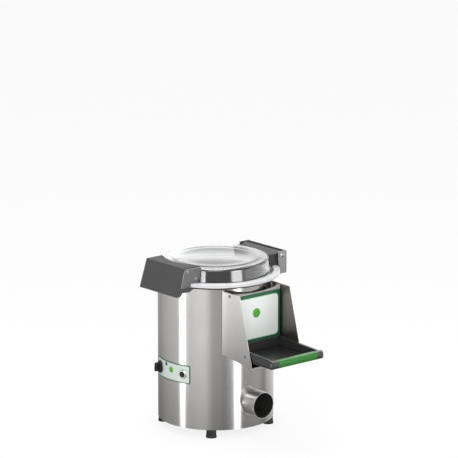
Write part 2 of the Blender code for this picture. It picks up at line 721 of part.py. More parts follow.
def spindle():
    nut_low = COAT_TOP + GAP
    shaft_top = nut_low + NUT_HEIGHT / 2
    outline = [
        (0, SHAFT_BOTTOM),
        (SHAFT_RADIUS, SHAFT_BOTTOM),
        (SHAFT_RADIUS, COLLAR_BOTTOM),
        (SHAFT_COLLAR_RADIUS, COLLAR_BOTTOM),
        (SHAFT_COLLAR_RADIUS, HUB_BOTTOM - GAP),
        (SHAFT_RADIUS, HUB_BOTTOM - GAP),
        (SHAFT_RADIUS, shaft_top),
        (0, shaft_top),
    ]
    shaft = turned("spindle_shaft", outline, CHROME)
    bore = SHAFT_RADIUS + GAP
    rim_inner = DISC_RADIUS - DISC_EDGE_DROP
    outline = [
        (bore, HUB_BOTTOM),
        (DISC_HUB_RADIUS, HUB_BOTTOM),
        (DISC_HUB_RADIUS, DISC_BOTTOM),
        (rim_inner, DISC_BOTTOM),
        (rim_inner, DISC_BOTTOM - DISC_EDGE_DROP),
        (DISC_RADIUS, DISC_BOTTOM - DISC_EDGE_DROP),
        (DISC_RADIUS, DISC_TOP),
        (bore, DISC_TOP),
    ]
    disc = turned("peeling_disc", outline, CAST_METAL, DISC_STEPS)
    coat = ring("disc_abrasive", bore, DISC_RADIUS, DISC_TOP + GAP, COAT_TOP, ABRASIVE, DISC_STEPS)
    join(coat, *[wave(index) for index in range(WAVE_COUNT)])
    outline = [
        (bore, nut_low),
        (NUT_RADIUS, nut_low),
        (NUT_RADIUS, nut_low + NUT_HEIGHT / 2),
        (NUT_RADIUS / 2, nut_low + NUT_HEIGHT),
        (0, nut_low + NUT_HEIGHT),
        (0, shaft_top + GAP),
        (bore, shaft_top + GAP),
    ]
    nut = turned("disc_nut", outline, CHROME)
    pulley = belt_pulley("spindle_pulley", PULLEY_RADIUS, SHAFT_RADIUS, True)
    axis_empty("spindle_axis", (0, 0, HUB_BOTTOM), (shaft, disc, coat, nut, pulley))


def wave(index):
    """One of the raised ridges that tumble the potatoes."""
    bm = bmesh.new()
    bmesh.ops.create_uvsphere(bm, u_segments=SMALL_STEPS, v_segments=SMALL_STEPS // 2, radius=1)
    bmesh.ops.scale(bm, vec=(WAVE_LENGTH / 2, WAVE_WIDTH / 2, WAVE_HEIGHT), verts=bm.verts)
    made = piece(f"disc_wave_{index}", bm, None)
    reach = DISC_RADIUS - WAVE_INSET - WAVE_LENGTH / 2
    turn = Matrix.Rotation(math.tau * index / WAVE_COUNT, 4, "Z")
    made.matrix_world = turn @ Matrix.Translation((reach, 0, COAT_TOP - COAT_THICKNESS / 2))
    # The ridge stays above the coat's underside.
    trim = rod(f"wave_trim_{index}", DISC_RADIUS, DISC_BOTTOM, DISC_TOP + GAP + COAT_THICKNESS / 4, None)
    return cut(made, trim)


def belt_pulley(name, radius, shaft, webbed):
    """A flat-belt pulley with a lip at both edges."""
    low = PULLEY_BOTTOM
    high = low + PULLEY_WIDTH
    edge = (PULLEY_WIDTH - BELT_WIDTH) / 2 - GAP
    outline = [
        (radius + PULLEY_LIP, low),
        (radius + PULLEY_LIP, low + edge),
        (radius, low + edge),
        (radius, high - edge),
        (radius + PULLEY_LIP, high - edge),
        (radius + PULLEY_LIP, high),
    ]
    if webbed:
        middle = (low + high) / 2
        outline += [
            (radius - PULLEY_RIM, high),
            (radius - PULLEY_RIM, middle + PULLEY_WEB / 2),
            (PULLEY_HUB_RADIUS, middle + PULLEY_WEB / 2),
            (PULLEY_HUB_RADIUS, high),
            (shaft + GAP, high),
            (shaft + GAP, low),
            (PULLEY_HUB_RADIUS, low),
            (PULLEY_HUB_RADIUS, middle - PULLEY_WEB / 2),
            (radius - PULLEY_RIM, middle - PULLEY_WEB / 2),
            (radius - PULLEY_RIM, low),
        ]
    else:
        outline += [(shaft + GAP, high), (shaft + GAP, low)]
    return turned(name, outline, CAST_METAL)


# Motor beside the spindle, hung from the chamber floor, with its own pulley and the belt
def motor_unit():
    place = Matrix.Translation((0, MOTOR_OFFSET, 0))
    bore = MOTOR_SHAFT_RADIUS + GAP
    outline = [
        (bore, MOTOR_BOTTOM),
        (MOTOR_NOSE_RADIUS, MOTOR_BOTTOM),
        (MOTOR_RADIUS - MOTOR_BELL / 2, MOTOR_BOTTOM + MOTOR_BELL / 2),
        (MOTOR_RADIUS, MOTOR_BOTTOM + MOTOR_BELL),
        (MOTOR_RADIUS, MOTOR_TOP - MOTOR_BELL),
        (MOTOR_RADIUS - MOTOR_BELL / 2, MOTOR_TOP),
        (0, MOTOR_TOP),
        (0, MOTOR_TOP - MOTOR_BELL),
        (bore, MOTOR_TOP - MOTOR_BELL),
    ]
    body = turned("motor_body", outline, MOTOR_PAINT, ROUND_STEPS, place)
    fin_half = math.pi * MOTOR_RADIUS / MOTOR_FINS / 4
    tools = []
    for index in range(MOTOR_FINS):
        turn = place @ Matrix.Rotation(math.tau * index / MOTOR_FINS, 4, "Z")
        low = (MOTOR_RADIUS - MOTOR_FIN_DEPTH, -fin_half, MOTOR_BOTTOM + MOTOR_BELL * 3 / 2)
        high = (MOTOR_RADIUS + MOTOR_FIN_DEPTH, fin_half, MOTOR_TOP - MOTOR_BELL * 3 / 2)
        tools.append(block(f"motor_groove_{index}", low, high, None, turn))
    cut(body, *tools)

    half = MOTOR_BRACKET_HALF
    low = MOTOR_TOP + GAP
    high = FLOOR_BOTTOM - GAP
    outline = [
        (-half, low),
        (half, low),
        (half, high),
        (half - BRACKET_SHEET, high),
        (half - BRACKET_SHEET, low + BRACKET_SHEET),
        (BRACKET_SHEET - half, low + BRACKET_SHEET),
        (BRACKET_SHEET - half, high),
        (-half, high),
    ]
    prism("motor_bracket", outline, MOTOR_BRACKET_FRONT, MOTOR_BRACKET_BACK, DARK_STEEL, "XZ")

    shaft_top = MOTOR_TOP - MOTOR_BELL - RUNNING_GAP
    shaft = rod("motor_shaft", MOTOR_SHAFT_RADIUS, MOTOR_SHAFT_BOTTOM, shaft_top, CHROME, frame=place)
    pulley = belt_pulley("motor_pulley", MOTOR_PULLEY_RADIUS, MOTOR_SHAFT_RADIUS, False)
    pulley.matrix_world = place
    axis_empty("motor_axis", (0, MOTOR_OFFSET, PULLEY_BOTTOM), (shaft, pulley))

    low = PULLEY_BOTTOM + (PULLEY_WIDTH - BELT_WIDTH) / 2
    belt = prism("drive_belt", belt_line(GAP + BELT_THICKNESS), low, low + BELT_WIDTH, RUBBER)
    hollow = prism("belt_hollow", belt_line(GAP), low - OVERRUN, low + BELT_WIDTH + OVERRUN, None)
    cut(belt, hollow)


def belt_line(extra):
    """Outline of the belt round both pulleys, at a distance from their rims."""
    lean = math.asin((PULLEY_RADIUS - MOTOR_PULLEY_RADIUS) / MOTOR_OFFSET)
    small = arc((0, MOTOR_OFFSET), MOTOR_PULLEY_RADIUS + extra, lean, math.pi - lean, SMALL_STEPS)
    large = arc((0, 0), PULLEY_RADIUS + extra, math.pi - lean, math.tau + lean, ROUND_STEPS)
    return small + large


# Electrics: capacitor, control box, timer, switch and the inlet for the mains lead
def electrics():
    low = BASE_TOP + GAP
    x, y = CAPACITOR_PLACE
    can = Matrix.Translation((x, y, 0))
    rod("motor_capacitor", CAPACITOR_RADIUS, low, low + CAPACITOR_HEIGHT, CAST_METAL, frame=can)
    width, length, height = CONTROL_BOX_SIZE
    x, y = CONTROL_BOX_PLACE
    west = x - width / 2
    east = x + width / 2
    front = y - length / 2
    back = y + length / 2
    corners = [(west, front), (east, front), (east, back), (west, back)]
    prism("control_box", rounded(corners, CONTROL_BOX_RADIUS), low, low + height, GREY_PLASTIC)

    thread = -DRUM_WALL - OVERRUN
    outline = [
        (GLAND_BORE, thread),
        (GLAND_THREAD_RADIUS, thread),
        (GLAND_THREAD_RADIUS, GAP),
        (GLAND_NUT_RADIUS, GAP),
        (GLAND_NUT_RADIUS, GLAND_FLANGE + GLAND_FLANGE),
        (GLAND_THREAD_RADIUS, GLAND_LENGTH - GLAND_FLANGE),
        (GLAND_BORE + DRUM_WALL, GLAND_LENGTH),
        (GLAND_BORE, GLAND_LENGTH),
    ]
    frame = on_drum(GLAND_ANGLE, DRUM_RADIUS, GLAND_LEVEL)
    turned("cable_gland", outline, BLACK_PLASTIC, SMALL_STEPS, frame)

    inward = -DRUM_WALL - LINER_THICKNESS
    outline = [
        (INLET_BORE, inward),
        (INLET_RADIUS, inward),
        (INLET_RADIUS, GAP),
        (INLET_FLANGE_RADIUS, GAP),
        (INLET_FLANGE_RADIUS, INLET_FLANGE),
        (INLET_RADIUS, INLET_FLANGE),
    ]
    pitch = (INLET_LENGTH - INLET_FLANGE) / (INLET_BARBS + 1)
    for barb in range(1, INLET_BARBS + 1):
        outline.append((INLET_RADIUS, INLET_FLANGE + pitch * barb))
        outline.append((INLET_RADIUS - DRUM_WALL, INLET_FLANGE + pitch * barb + GAP))
    outline += [(INLET_RADIUS, INLET_LENGTH - pitch / 2), (INLET_RADIUS - DRUM_WALL, INLET_LENGTH)]
    outline.append((INLET_BORE, INLET_LENGTH))
    turned("water_inlet", outline, CHROME, SMALL_STEPS, on_drum(INLET_ANGLE, DRUM_RADIUS, INLET_LEVEL))


# Control panel on the drum, with its timer knob and start button
def control_panel():
    low = PANEL_LEVEL - PANEL_HEIGHT / 2
    high = PANEL_LEVEL + PANEL_HEIGHT / 2
    sections = []
    for step in range(SMALL_STEPS + 1):
        angle = PANEL_ANGLE - PANEL_HALF_ARC + 2 * PANEL_HALF_ARC * step / SMALL_STEPS
        out = Vector((math.sin(angle), -math.cos(angle), 0))
        corners = ((PANEL_RADIUS, low), (PANEL_OUTER, low), (PANEL_OUTER, high), (PANEL_RADIUS, high))
        sections.append([out * radius + Vector((0, 0, z)) for radius, z in corners])
    panel = lofted("control_panel", sections, LABEL_FILM)
    timer_angle = PANEL_ANGLE - CONTROL_SPREAD
    button_angle = PANEL_ANGLE + CONTROL_SPREAD
    cut(
        panel,
        wall_hole("panel_timer_hole", timer_angle, PANEL_LEVEL, TIMER_BUSH_RADIUS + GAP),
        wall_hole("panel_button_hole", button_angle, PANEL_LEVEL, BEZEL_BARREL_RADIUS + GAP),
    )
    timer(on_drum(timer_angle, PANEL_OUTER, PANEL_LEVEL))
    start_button(on_drum(button_angle, PANEL_OUTER, PANEL_LEVEL))


def seated_block(name, size, look, frame, top):
    width, height, depth = size
    low = (-width / 2, -height / 2, top - depth)
    return block(name, low, (width / 2, height / 2, top), look, frame)


def timer(frame):
    seat = circle_reach(DRUM_INNER, TIMER_SIZE[0] / 2) - GAP - PANEL_OUTER
    body = seated_block("timer_body", TIMER_SIZE, BLACK_PLASTIC, frame, seat)
    inside = seat - TIMER_SIZE[2] / 2
    reach = KNOB_DEPTH / 2
    bush = rod("timer_bush", TIMER_BUSH_RADIUS, inside, 0, None, SMALL_STEPS, frame)
    stem = rod("timer_stem", TIMER_SHAFT_RADIUS, inside, reach, None, SMALL_STEPS, frame)
    join(body, bush, stem)

    low = RUNNING_GAP
    skirt = low + KNOB_SKIRT
    outline = [
        (0, low),
        (KNOB_RADIUS, low),
        (KNOB_RADIUS, skirt - GAP),
        (KNOB_RADIUS - GAP, skirt),
        (KNOB_DISH_RADIUS, skirt),
        (KNOB_DISH_RADIUS - KNOB_SKIRT / 2, skirt + KNOB_SKIRT / 2),
        (0, skirt + KNOB_SKIRT / 2),
    ]
    knob = turned("timer_knob", outline, BLACK_PLASTIC, ROUND_STEPS, frame)
    wide = KNOB_GRIP_WIDTH / 2
    tail = -circle_reach(KNOB_DISH_RADIUS, wide)
    nose = KNOB_DISH_RADIUS - wide
    corners = [(-wide, tail), (wide, tail), (wide, nose), (0, KNOB_DISH_RADIUS), (-wide, nose)]
    grip = prism("knob_grip", corners, skirt - KNOB_SKIRT / 2, low + KNOB_DEPTH, None, frame=frame)
    fit = TIMER_SHAFT_RADIUS + GAP
    bore = rod("knob_bore", fit, -OVERRUN, reach + RUNNING_GAP, None, SMALL_STEPS, frame)
    join(knob, grip)
    cut(knob, bore)
    axis_empty("knob_axis", frame.translation, (knob,))


def start_button(frame):
    outline = [
        (BEZEL_BORE, -BEZEL_BARREL_LENGTH),
        (BEZEL_BARREL_RADIUS, -BEZEL_BARREL_LENGTH),
        (BEZEL_BARREL_RADIUS, GAP),
        (BEZEL_RADIUS, GAP),
        (BEZEL_RADIUS, BEZEL_HEIGHT / 2),
        (BEZEL_BARREL_RADIUS, BEZEL_HEIGHT),
        (BEZEL_BORE, BEZEL_HEIGHT),
    ]
    turned("button_bezel", outline, CHROME, ROUND_STEPS, frame)
    radius = BEZEL_BORE - GAP
    low = RUNNING_GAP + BUTTON_TRAVEL - BEZEL_BARREL_LENGTH
    high = BEZEL_HEIGHT + BUTTON_PROUD
    bevel = BUTTON_PROUD / 2
    outline = [(0, low), (radius, low), (radius, high - bevel), (radius - bevel, high), (0, high)]
    button = turned("start_button", outline, BLACK_PLASTIC, ROUND_STEPS, frame)
    seated_block("switch_body", SWITCH_SIZE, BLACK_PLASTIC, frame, -BEZEL_BARREL_LENGTH - GAP)
    axis_empty("button_axis", frame.translation, (button,))


# Discharge outlet: a collar through the drum's wall with a rubber seal on its flange
def outlet():
    seat = DOOR_FACE - DOOR_THICKNESS - GAP
    face = seat - SEAL_THICKNESS - GAP
    half = OUTLET_HALF_WIDTH
    frame = panel_block("outlet_frame", half, OUTLET_BOTTOM, OUTLET_TOP, LINER_INNER / 2, face, STEEL)
    wide = half + OUTLET_LIP
    low = OUTLET_BOTTOM - OUTLET_LIP
    high = OUTLET_TOP + OUTLET_LIP
    flange = panel_block("outlet_flange", wide, low, high, face - OUTLET_WALL, face, None)
    passage = outlet_passage("outlet_passage")
    inside_low = OUTLET_BOTTOM - OVERRUN
    inside_high = OUTLET_TOP + OVERRUN
    inside = rod("outlet_inside", LINER_INNER, inside_low, inside_high, None, DRUM_STEPS)
    join(frame, flange)
    cut(frame, passage, inside)
    seal = panel_block("door_seal", wide, low, high, face + GAP, seat, RUBBER)
    cut(seal, outlet_passage("seal_passage"))


def panel_block(name, half, low, high, near, far, look):
    """A box that stands across the front, between two distances from the drum's axis."""
    return block(name, (-half, -far, low), (half, -near, high), look)


def outlet_passage(name):
    half = OUTLET_HALF_WIDTH - OUTLET_WALL
    low = OUTLET_BOTTOM + OUTLET_WALL
    high = OUTLET_TOP - OUTLET_WALL
    return panel_block(name, half, low, high, 0, DRUM_RADIUS + DRUM_RADIUS, None)


# Hood: two side plates, the chute between them and the screws that carry and steady the door
def hood():
    rear = circle_reach(DRUM_RADIUS, HOOD_INNER) + GAP
    outline = [
        (-rear, HOOD_BOTTOM),
        (-rear, HOOD_TOP),
        (-HOOD_TOP_REACH, HOOD_TOP_FRONT),
        (-HOOD_BOTTOM_REACH, HOOD_BOTTOM_FRONT),
    ]
    for name, side in (("left", -1), ("right", 1)):
        edges = sorted((side * HOOD_INNER, side * HOOD_HALF_WIDTH))
        plate = prism(f"hood_plate_{name}", outline, edges[0], edges[1], STEEL, "YZ")
        pivot_hole = cross_hole(f"{name}_pivot_hole", PIVOT_REACH, PIVOT_LEVEL)
        catch_hole = cross_hole(f"{name}_catch_hole", CATCH_REACH, CATCH_LEVEL)
        cut(plate, pivot_hole, catch_hole)
        plate_screw(f"door_pivot_{name}", side, PIVOT_REACH, PIVOT_LEVEL, HOOD_INNER - PIVOT_STUB)
        washer = DOOR_HALF_WIDTH + RUNNING_GAP
        plate_screw(f"door_catch_{name}", side, CATCH_REACH, CATCH_LEVEL, washer)

    slope = (HOOD_BOTTOM - HOOD_BOTTOM_FRONT) / (HOOD_BOTTOM_REACH - rear)
    start = rear - OVERRUN
    front = HOOD_BOTTOM_REACH - CHUTE_INSET
    low = HOOD_BOTTOM + CHUTE_LIFT + slope * OVERRUN
    end = HOOD_BOTTOM + CHUTE_LIFT - slope * (front - rear)
    outline = [
        (-start, low),
        (-start, low + HOOD_SHEET),
        (-front, end + HOOD_SHEET),
        (-front, end - CHUTE_LIP),
        (HOOD_SHEET - front, end - CHUTE_LIP),
        (HOOD_SHEET - front, end),
    ]
    half = HOOD_INNER - GAP
    chute = prism("chute", outline, -half, half, STEEL, "YZ")
    cut(chute, drum_cutter("chute_drum_cut", GAP, end - OVERRUN, low + OVERRUN))


def cross_hole(name, reach, level):
    frame = along((1, 0, 0), (0, -reach, level))
    span = HOOD_HALF_WIDTH + OVERRUN
    return rod(name, SCREW_RADIUS + GAP, -span, span, None, SMALL_STEPS, frame)


def plate_screw(name, side, reach, level, tip):
    """A shouldered screw through a hood plate, with its washer on the inner face."""
    washer = DOOR_HALF_WIDTH + RUNNING_GAP
    seat = HOOD_HALF_WIDTH + GAP
    outline = [
        (0, tip),
        (SCREW_RADIUS, tip),
        (SCREW_RADIUS, washer),
        (WASHER_RADIUS, washer),
        (WASHER_RADIUS, HOOD_INNER - GAP),
        (SCREW_RADIUS, HOOD_INNER - GAP),
        (SCREW_RADIUS, seat),
        (SCREW_HEAD_RADIUS, seat),
        (SCREW_HEAD_RADIUS, seat + SCREW_HEAD_HEIGHT / 2),
        (SCREW_RADIUS, seat + SCREW_HEAD_HEIGHT),
        (0, seat + SCREW_HEAD_HEIGHT),
    ]
    if tip == washer:
        outline = [(0, washer)] + outline[3:]
    frame = along((side, 0, 0), (0, -reach, level))
    return turned(name, outline, CHROME, SMALL_STEPS, frame)


# Discharge door: a flanged panel with its label, a tray-shaped handle, grip bar and end screws
def door():
    half = DOOR_HALF_WIDTH
    rear = DOOR_FACE - DOOR_THICKNESS
    flange = rear - DOOR_FLANGE
    inner = half - DOOR_THICKNESS
    outline = [
        (-half, -DOOR_FACE),
        (half, -DOOR_FACE),
        (half, -flange),
        (inner, -flange),
        (inner, -rear),
        (-inner, -rear),
        (-inner, -flange),
        (-half, -flange),
    ]
    panel = prism("door_panel", outline, DOOR_BOTTOM + DOOR_LIFT, DOOR_TOP, GREY_PLASTIC)
    bow = (half * half + DOOR_TOP_SAG * DOOR_TOP_SAG) / (2 * DOOR_TOP_SAG)
    sweep = math.asin(half / bow)
    centre = (0, DOOR_TOP - DOOR_TOP_SAG + bow)
    sag = arc(centre, bow, -math.pi / 2 - sweep, -math.pi / 2 + sweep, SMALL_STEPS)
    sag += [(half, DOOR_TOP + OVERRUN), (-half, DOOR_TOP + OVERRUN)]
    hollow = prism("door_top_cut", sag, -DOOR_FACE - OVERRUN, OVERRUN - flange, None, "XZ")
    cut(panel, hollow, cross_hole("door_pivot_hole", PIVOT_REACH, PIVOT_LEVEL))

    half = LABEL_HALF_WIDTH
    corners = [(-half, LABEL_BOTTOM), (half, LABEL_BOTTOM), (half, LABEL_TOP), (-half, LABEL_TOP)]
    far = -DOOR_FACE - GAP - LABEL_THICKNESS
    label = prism("door_label", rounded(corners, LABEL_CORNER), far, -DOOR_FACE - GAP, LABEL_FILM, "XZ")
    moved = [panel, label, door_handle(), grip_bar()]
    moved += [bar_screw("left", -1), bar_screw("right", 1)]
    axis_empty("door_axis", (0, -PIVOT_REACH, PIVOT_LEVEL), moved)


def bar_outline():
    front = BAR_REACH + BAR_DEPTH / 2
    back = BAR_REACH - BAR_DEPTH / 2
    low = BAR_LEVEL - BAR_HEIGHT / 2
    high = BAR_LEVEL + BAR_HEIGHT / 2
    return rounded([(-front, low), (-back, low), (-back, high), (-front, high)], BAR_CORNER)


def door_handle():
    """A shallow tray whose side arms end in the hubs of the bar."""
    near = DOOR_FACE + GAP
    back = near + HANDLE_BACK
    front = BAR_REACH - BAR_DEPTH / 2 - GAP
    wall = front - HANDLE_FLOOR_THICKNESS
    bar_low = BAR_LEVEL - BAR_HEIGHT / 4
    bar_high = BAR_LEVEL + BAR_HEIGHT / 2
    outline = [
        (-near, HANDLE_BACK_TOP),
        (-near, DOOR_BOTTOM),
        (-front, DOOR_BOTTOM),
        (-front, bar_high - HANDLE_FLOOR_THICKNESS),
        (-wall, bar_high - HANDLE_FLOOR_THICKNESS),
        (-wall, HANDLE_FLOOR),
        (-back, HANDLE_FLOOR),
        (-back, HANDLE_BACK_TOP),
    ]
    inner = DOOR_HALF_WIDTH - HANDLE_ARM
    tray = prism("door_handle", outline, -inner - GAP, inner + GAP, GREY_PLASTIC, "YZ")
    arm = [
        (-near, DOOR_BOTTOM),
        (-near, HANDLE_ARM_TOP),
        (-wall, bar_high),
        (-BAR_REACH, bar_high - BAR_HEIGHT / 4),
        (-BAR_REACH, bar_low),
        (-front, DOOR_BOTTOM),
    ]
    for name, side in (("left", -1), ("right", 1)):
        edges = sorted((side * inner, side * DOOR_HALF_WIDTH))
        ends = sorted((side * (GRIP_HALF_WIDTH + GAP), side * BAR_HALF_WIDTH))
        bore = along((side, 0, 0), (0, -BAR_REACH, BAR_LEVEL))
        sunk = BAR_HALF_WIDTH - SCREW_HEAD_HEIGHT / 2
        join(
            tray,
            prism(f"handle_arm_{name}", arm, edges[0], edges[1], None, "YZ"),
            prism(f"handle_hub_{name}", bar_outline(), ends[0], ends[1], None, "YZ"),
        )
        far = BAR_HALF_WIDTH + OVERRUN
        start = GRIP_HALF_WIDTH - OVERRUN
        cut(
            tray,
            rod(f"hub_bore_{name}", SCREW_RADIUS + GAP, start, far, None, SMALL_STEPS, bore),
            rod(f"hub_sink_{name}", BAR_SCREW_RADIUS + GAP, sunk, far, None, SMALL_STEPS, bore),
        )
    return tray


def grip_bar():
    grip = prism("handle_grip", bar_outline(), -GRIP_HALF_WIDTH, GRIP_HALF_WIDTH, GREEN_PLASTIC, "YZ")
    for name, side in (("left", -1), ("right", 1)):
        frame = along((side, 0, 0), (0, -BAR_REACH, BAR_LEVEL))
        low = BAR_SCREW_TIP - GAP
        far = GRIP_HALF_WIDTH + OVERRUN
        cut(grip, rod(f"grip_bore_{name}", SCREW_RADIUS + GAP, low, far, None, SMALL_STEPS, frame))
    return grip


def bar_screw(name, side):
    seat = BAR_HALF_WIDTH - SCREW_HEAD_HEIGHT / 2 + GAP
    outline = [
        (0, BAR_SCREW_TIP),
        (SCREW_RADIUS, BAR_SCREW_TIP),
        (SCREW_RADIUS, seat),
        (BAR_SCREW_RADIUS, seat),
        (BAR_SCREW_RADIUS, seat + SCREW_HEAD_HEIGHT / 2),
        (BAR_SCREW_RADIUS / 2, seat + SCREW_HEAD_HEIGHT / 2),
        (BAR_SCREW_RADIUS / 2, seat + SCREW_HEAD_HEIGHT / 4),
        (0, seat + SCREW_HEAD_HEIGHT / 4),
    ]
    frame = along((side, 0, 0), (0, -BAR_REACH, BAR_LEVEL))
    return turned(f"handle_screw_{name}", outline, CHROME, SMALL_STEPS, frame)


# Lid: a white ring with a clear dome in its rebate
DOME_FLANGE_LOW = RING_TOP - RING_REBATE + GAP
DOME_TOP = RING_TOP + DOME_HEIGHT
DOME_SHOULDER = DOME_TOP - DOME_SHOULDER_ROUND


def lid_ring():
    seat = RING_TOP - RING_REBATE
    recess = DOME_FLANGE_RADIUS + GAP
    outer = RING_RADIUS - RING_ROUND
    quarter = math.pi / 2
    outline = [(RING_INNER, RING_BOTTOM)]
    outline += arc((outer, RING_BOTTOM + RING_ROUND), RING_ROUND, -quarter, 0, FILLET_STEPS)
    outline += arc((outer, RING_TOP - RING_ROUND), RING_ROUND, 0, quarter, FILLET_STEPS)
    outline += [(recess, RING_TOP), (recess, seat), (RING_INNER, seat)]
    return turned("lid_ring", outline, WHITE_PLASTIC, DRUM_STEPS)


def lid_dome():
    low = DOME_FLANGE_LOW
    flange_top = low + DOME_WALL
    round_centre = (DOME_SHOULDER_RADIUS - DOME_SHOULDER_ROUND, DOME_SHOULDER)
    quarter = math.pi / 2
    step_low = DOME_TOP - DOME_STEP
    outline = [(DOME_FLANGE_RADIUS, low), (DOME_FLANGE_RADIUS, flange_top), (DOME_FOOT_RADIUS, flange_top)]
    outline += arc(round_centre, DOME_SHOULDER_ROUND, 0, quarter, FILLET_STEPS)
    outline += [(DOME_STEP_RADIUS + DOME_STEP, DOME_TOP), (DOME_STEP_RADIUS - DOME_STEP, step_low)]
    outline += crown(step_low)
    outline += reversed(crown(step_low - DOME_WALL))
    outline.append((DOME_STEP_RADIUS - DOME_STEP, step_low - DOME_WALL))
    outline.append((DOME_STEP_RADIUS + DOME_STEP, DOME_TOP - DOME_WALL))
    inside = arc(round_centre, DOME_SHOULDER_ROUND - DOME_WALL, quarter, 0, FILLET_STEPS)
    outline += inside + [(DOME_FOOT_RADIUS - DOME_WALL, low)]
    return turned("lid_dome", outline, CLEAR_PLASTIC, DRUM_STEPS)


def crown(edge):
    """Shallow bulge of the dome's middle, from the step in to the axis."""
    spots = []
    for share in CROWN_SHARES:
        spots.append((DOME_STEP_RADIUS * share, edge + DOME_CROWN * (1 - share * share)))
    return spots


def lid_clearance(name):
    """What the parts fixed on the lid must leave free for its ring and dome."""
    ring_edge = RING_RADIUS + GAP
    shoulder = DOME_SHOULDER_RADIUS + GAP
    outline = [
        (0, RING_BOTTOM - GAP),
        (ring_edge, RING_BOTTOM - GAP),
        (ring_edge, RING_TOP + GAP),
        (DOME_FOOT_RADIUS + GAP, RING_TOP + GAP),
        (shoulder, DOME_SHOULDER),
        (shoulder, HANDLE_TOP + OVERRUN),
        (0, HANDLE_TOP + OVERRUN),
    ]
    return turned(name, outline, None, DRUM_STEPS)


# Lid hinge: an arm with a barrel on the ring, a folded bracket on the drum and the pin
def hinge():
    low = RING_TOP + GAP
    barrel = (HINGE_X, HINGE_LEVEL)
    outline = [(ARM_INNER, low), (HINGE_X - ARM_PAD, low)]
    outline += arc(barrel, ARM_BARREL_RADIUS, -math.pi / 2, math.pi / 2, SMALL_STEPS)
    outline += [(HINGE_X - ARM_PAD - ARM_PAD, ARM_TOP), (ARM_INNER, ARM_TOP)]
    arm = prism("lid_hinge_arm", outline, -ARM_HALF_WIDTH, ARM_HALF_WIDTH, BRACKET_GREY, "XZ")
    cut(arm, lid_clearance("arm_lid_cut"), pin_hole("arm_pin_hole"))

    half = HINGE_HALF_WIDTH
    wall = HINGE_OUTER - BRACKET_SHEET
    outline = [
        (HINGE_CHEEK_BOTTOM, HINGE_BOTTOM),
        (HINGE_OUTER, HINGE_BOTTOM),
        (HINGE_OUTER, HINGE_TOP),
        (HINGE_CHEEK_TOP, HINGE_TOP),
    ]
    bracket = prism("hinge_bracket", outline, -half, half, BRACKET_GREY, "XZ")
    shelf_low = (DRUM_RADIUS / 2, -half, HINGE_BOTTOM)
    shelf = block("bracket_shelf", shelf_low, (wall + GAP, half, HINGE_BOTTOM + BRACKET_SHEET), None)
    inner = half - BRACKET_SHEET
    low_corner = (0, -inner, HINGE_BOTTOM + BRACKET_SHEET)
    room = block("bracket_room", low_corner, (wall, inner, HINGE_TOP + OVERRUN), None)
    join(bracket, shelf)
    drum_cut = drum_cutter("bracket_drum_cut", GAP, HINGE_BOTTOM - OVERRUN, HINGE_BOTTOM + OVERRUN)
    cut(bracket, room, drum_cut, pin_hole("bracket_pin_hole"))

    head = half + GAP
    outline = [
        (0, -head - HINGE_HEAD_HEIGHT),
        (HINGE_PIN_RADIUS, -head - HINGE_HEAD_HEIGHT),
        (HINGE_HEAD_RADIUS, -head - HINGE_HEAD_HEIGHT / 2),
        (HINGE_HEAD_RADIUS, -head),
        (HINGE_PIN_RADIUS, -head),
        (HINGE_PIN_RADIUS, head),
        (HINGE_HEAD_RADIUS, head),
        (HINGE_HEAD_RADIUS, head + HINGE_HEAD_HEIGHT / 2),
        (HINGE_PIN_RADIUS, head + HINGE_HEAD_HEIGHT),
        (0, head + HINGE_HEAD_HEIGHT),
    ]
    turned("hinge_pin", outline, CHROME, ROUND_STEPS, along((0, 1, 0), (HINGE_X, 0, HINGE_LEVEL)))
    return arm


def pin_hole(name):
    span = HINGE_HALF_WIDTH + OVERRUN
    frame = along((0, 1, 0), (HINGE_X, 0, HINGE_LEVEL))
    return rod(name, HINGE_PIN_RADIUS + GAP, -span, span, None, ROUND_STEPS, frame)


# Lid handle: a moulded cover that hides the safety magnet, with a screwed plate on each side
def handle_wall(level, depth):
    """X of a point at a depth inside the cover's sloping outer wall."""
    lean = (HANDLE_BOTTOM_OUTER - HANDLE_TOP_OUTER) / (HANDLE_TOP - HANDLE_BOTTOM)
    across = depth * math.sqrt(1 + lean * lean)
    return across - HANDLE_TOP_OUTER - (HANDLE_TOP - level) * lean


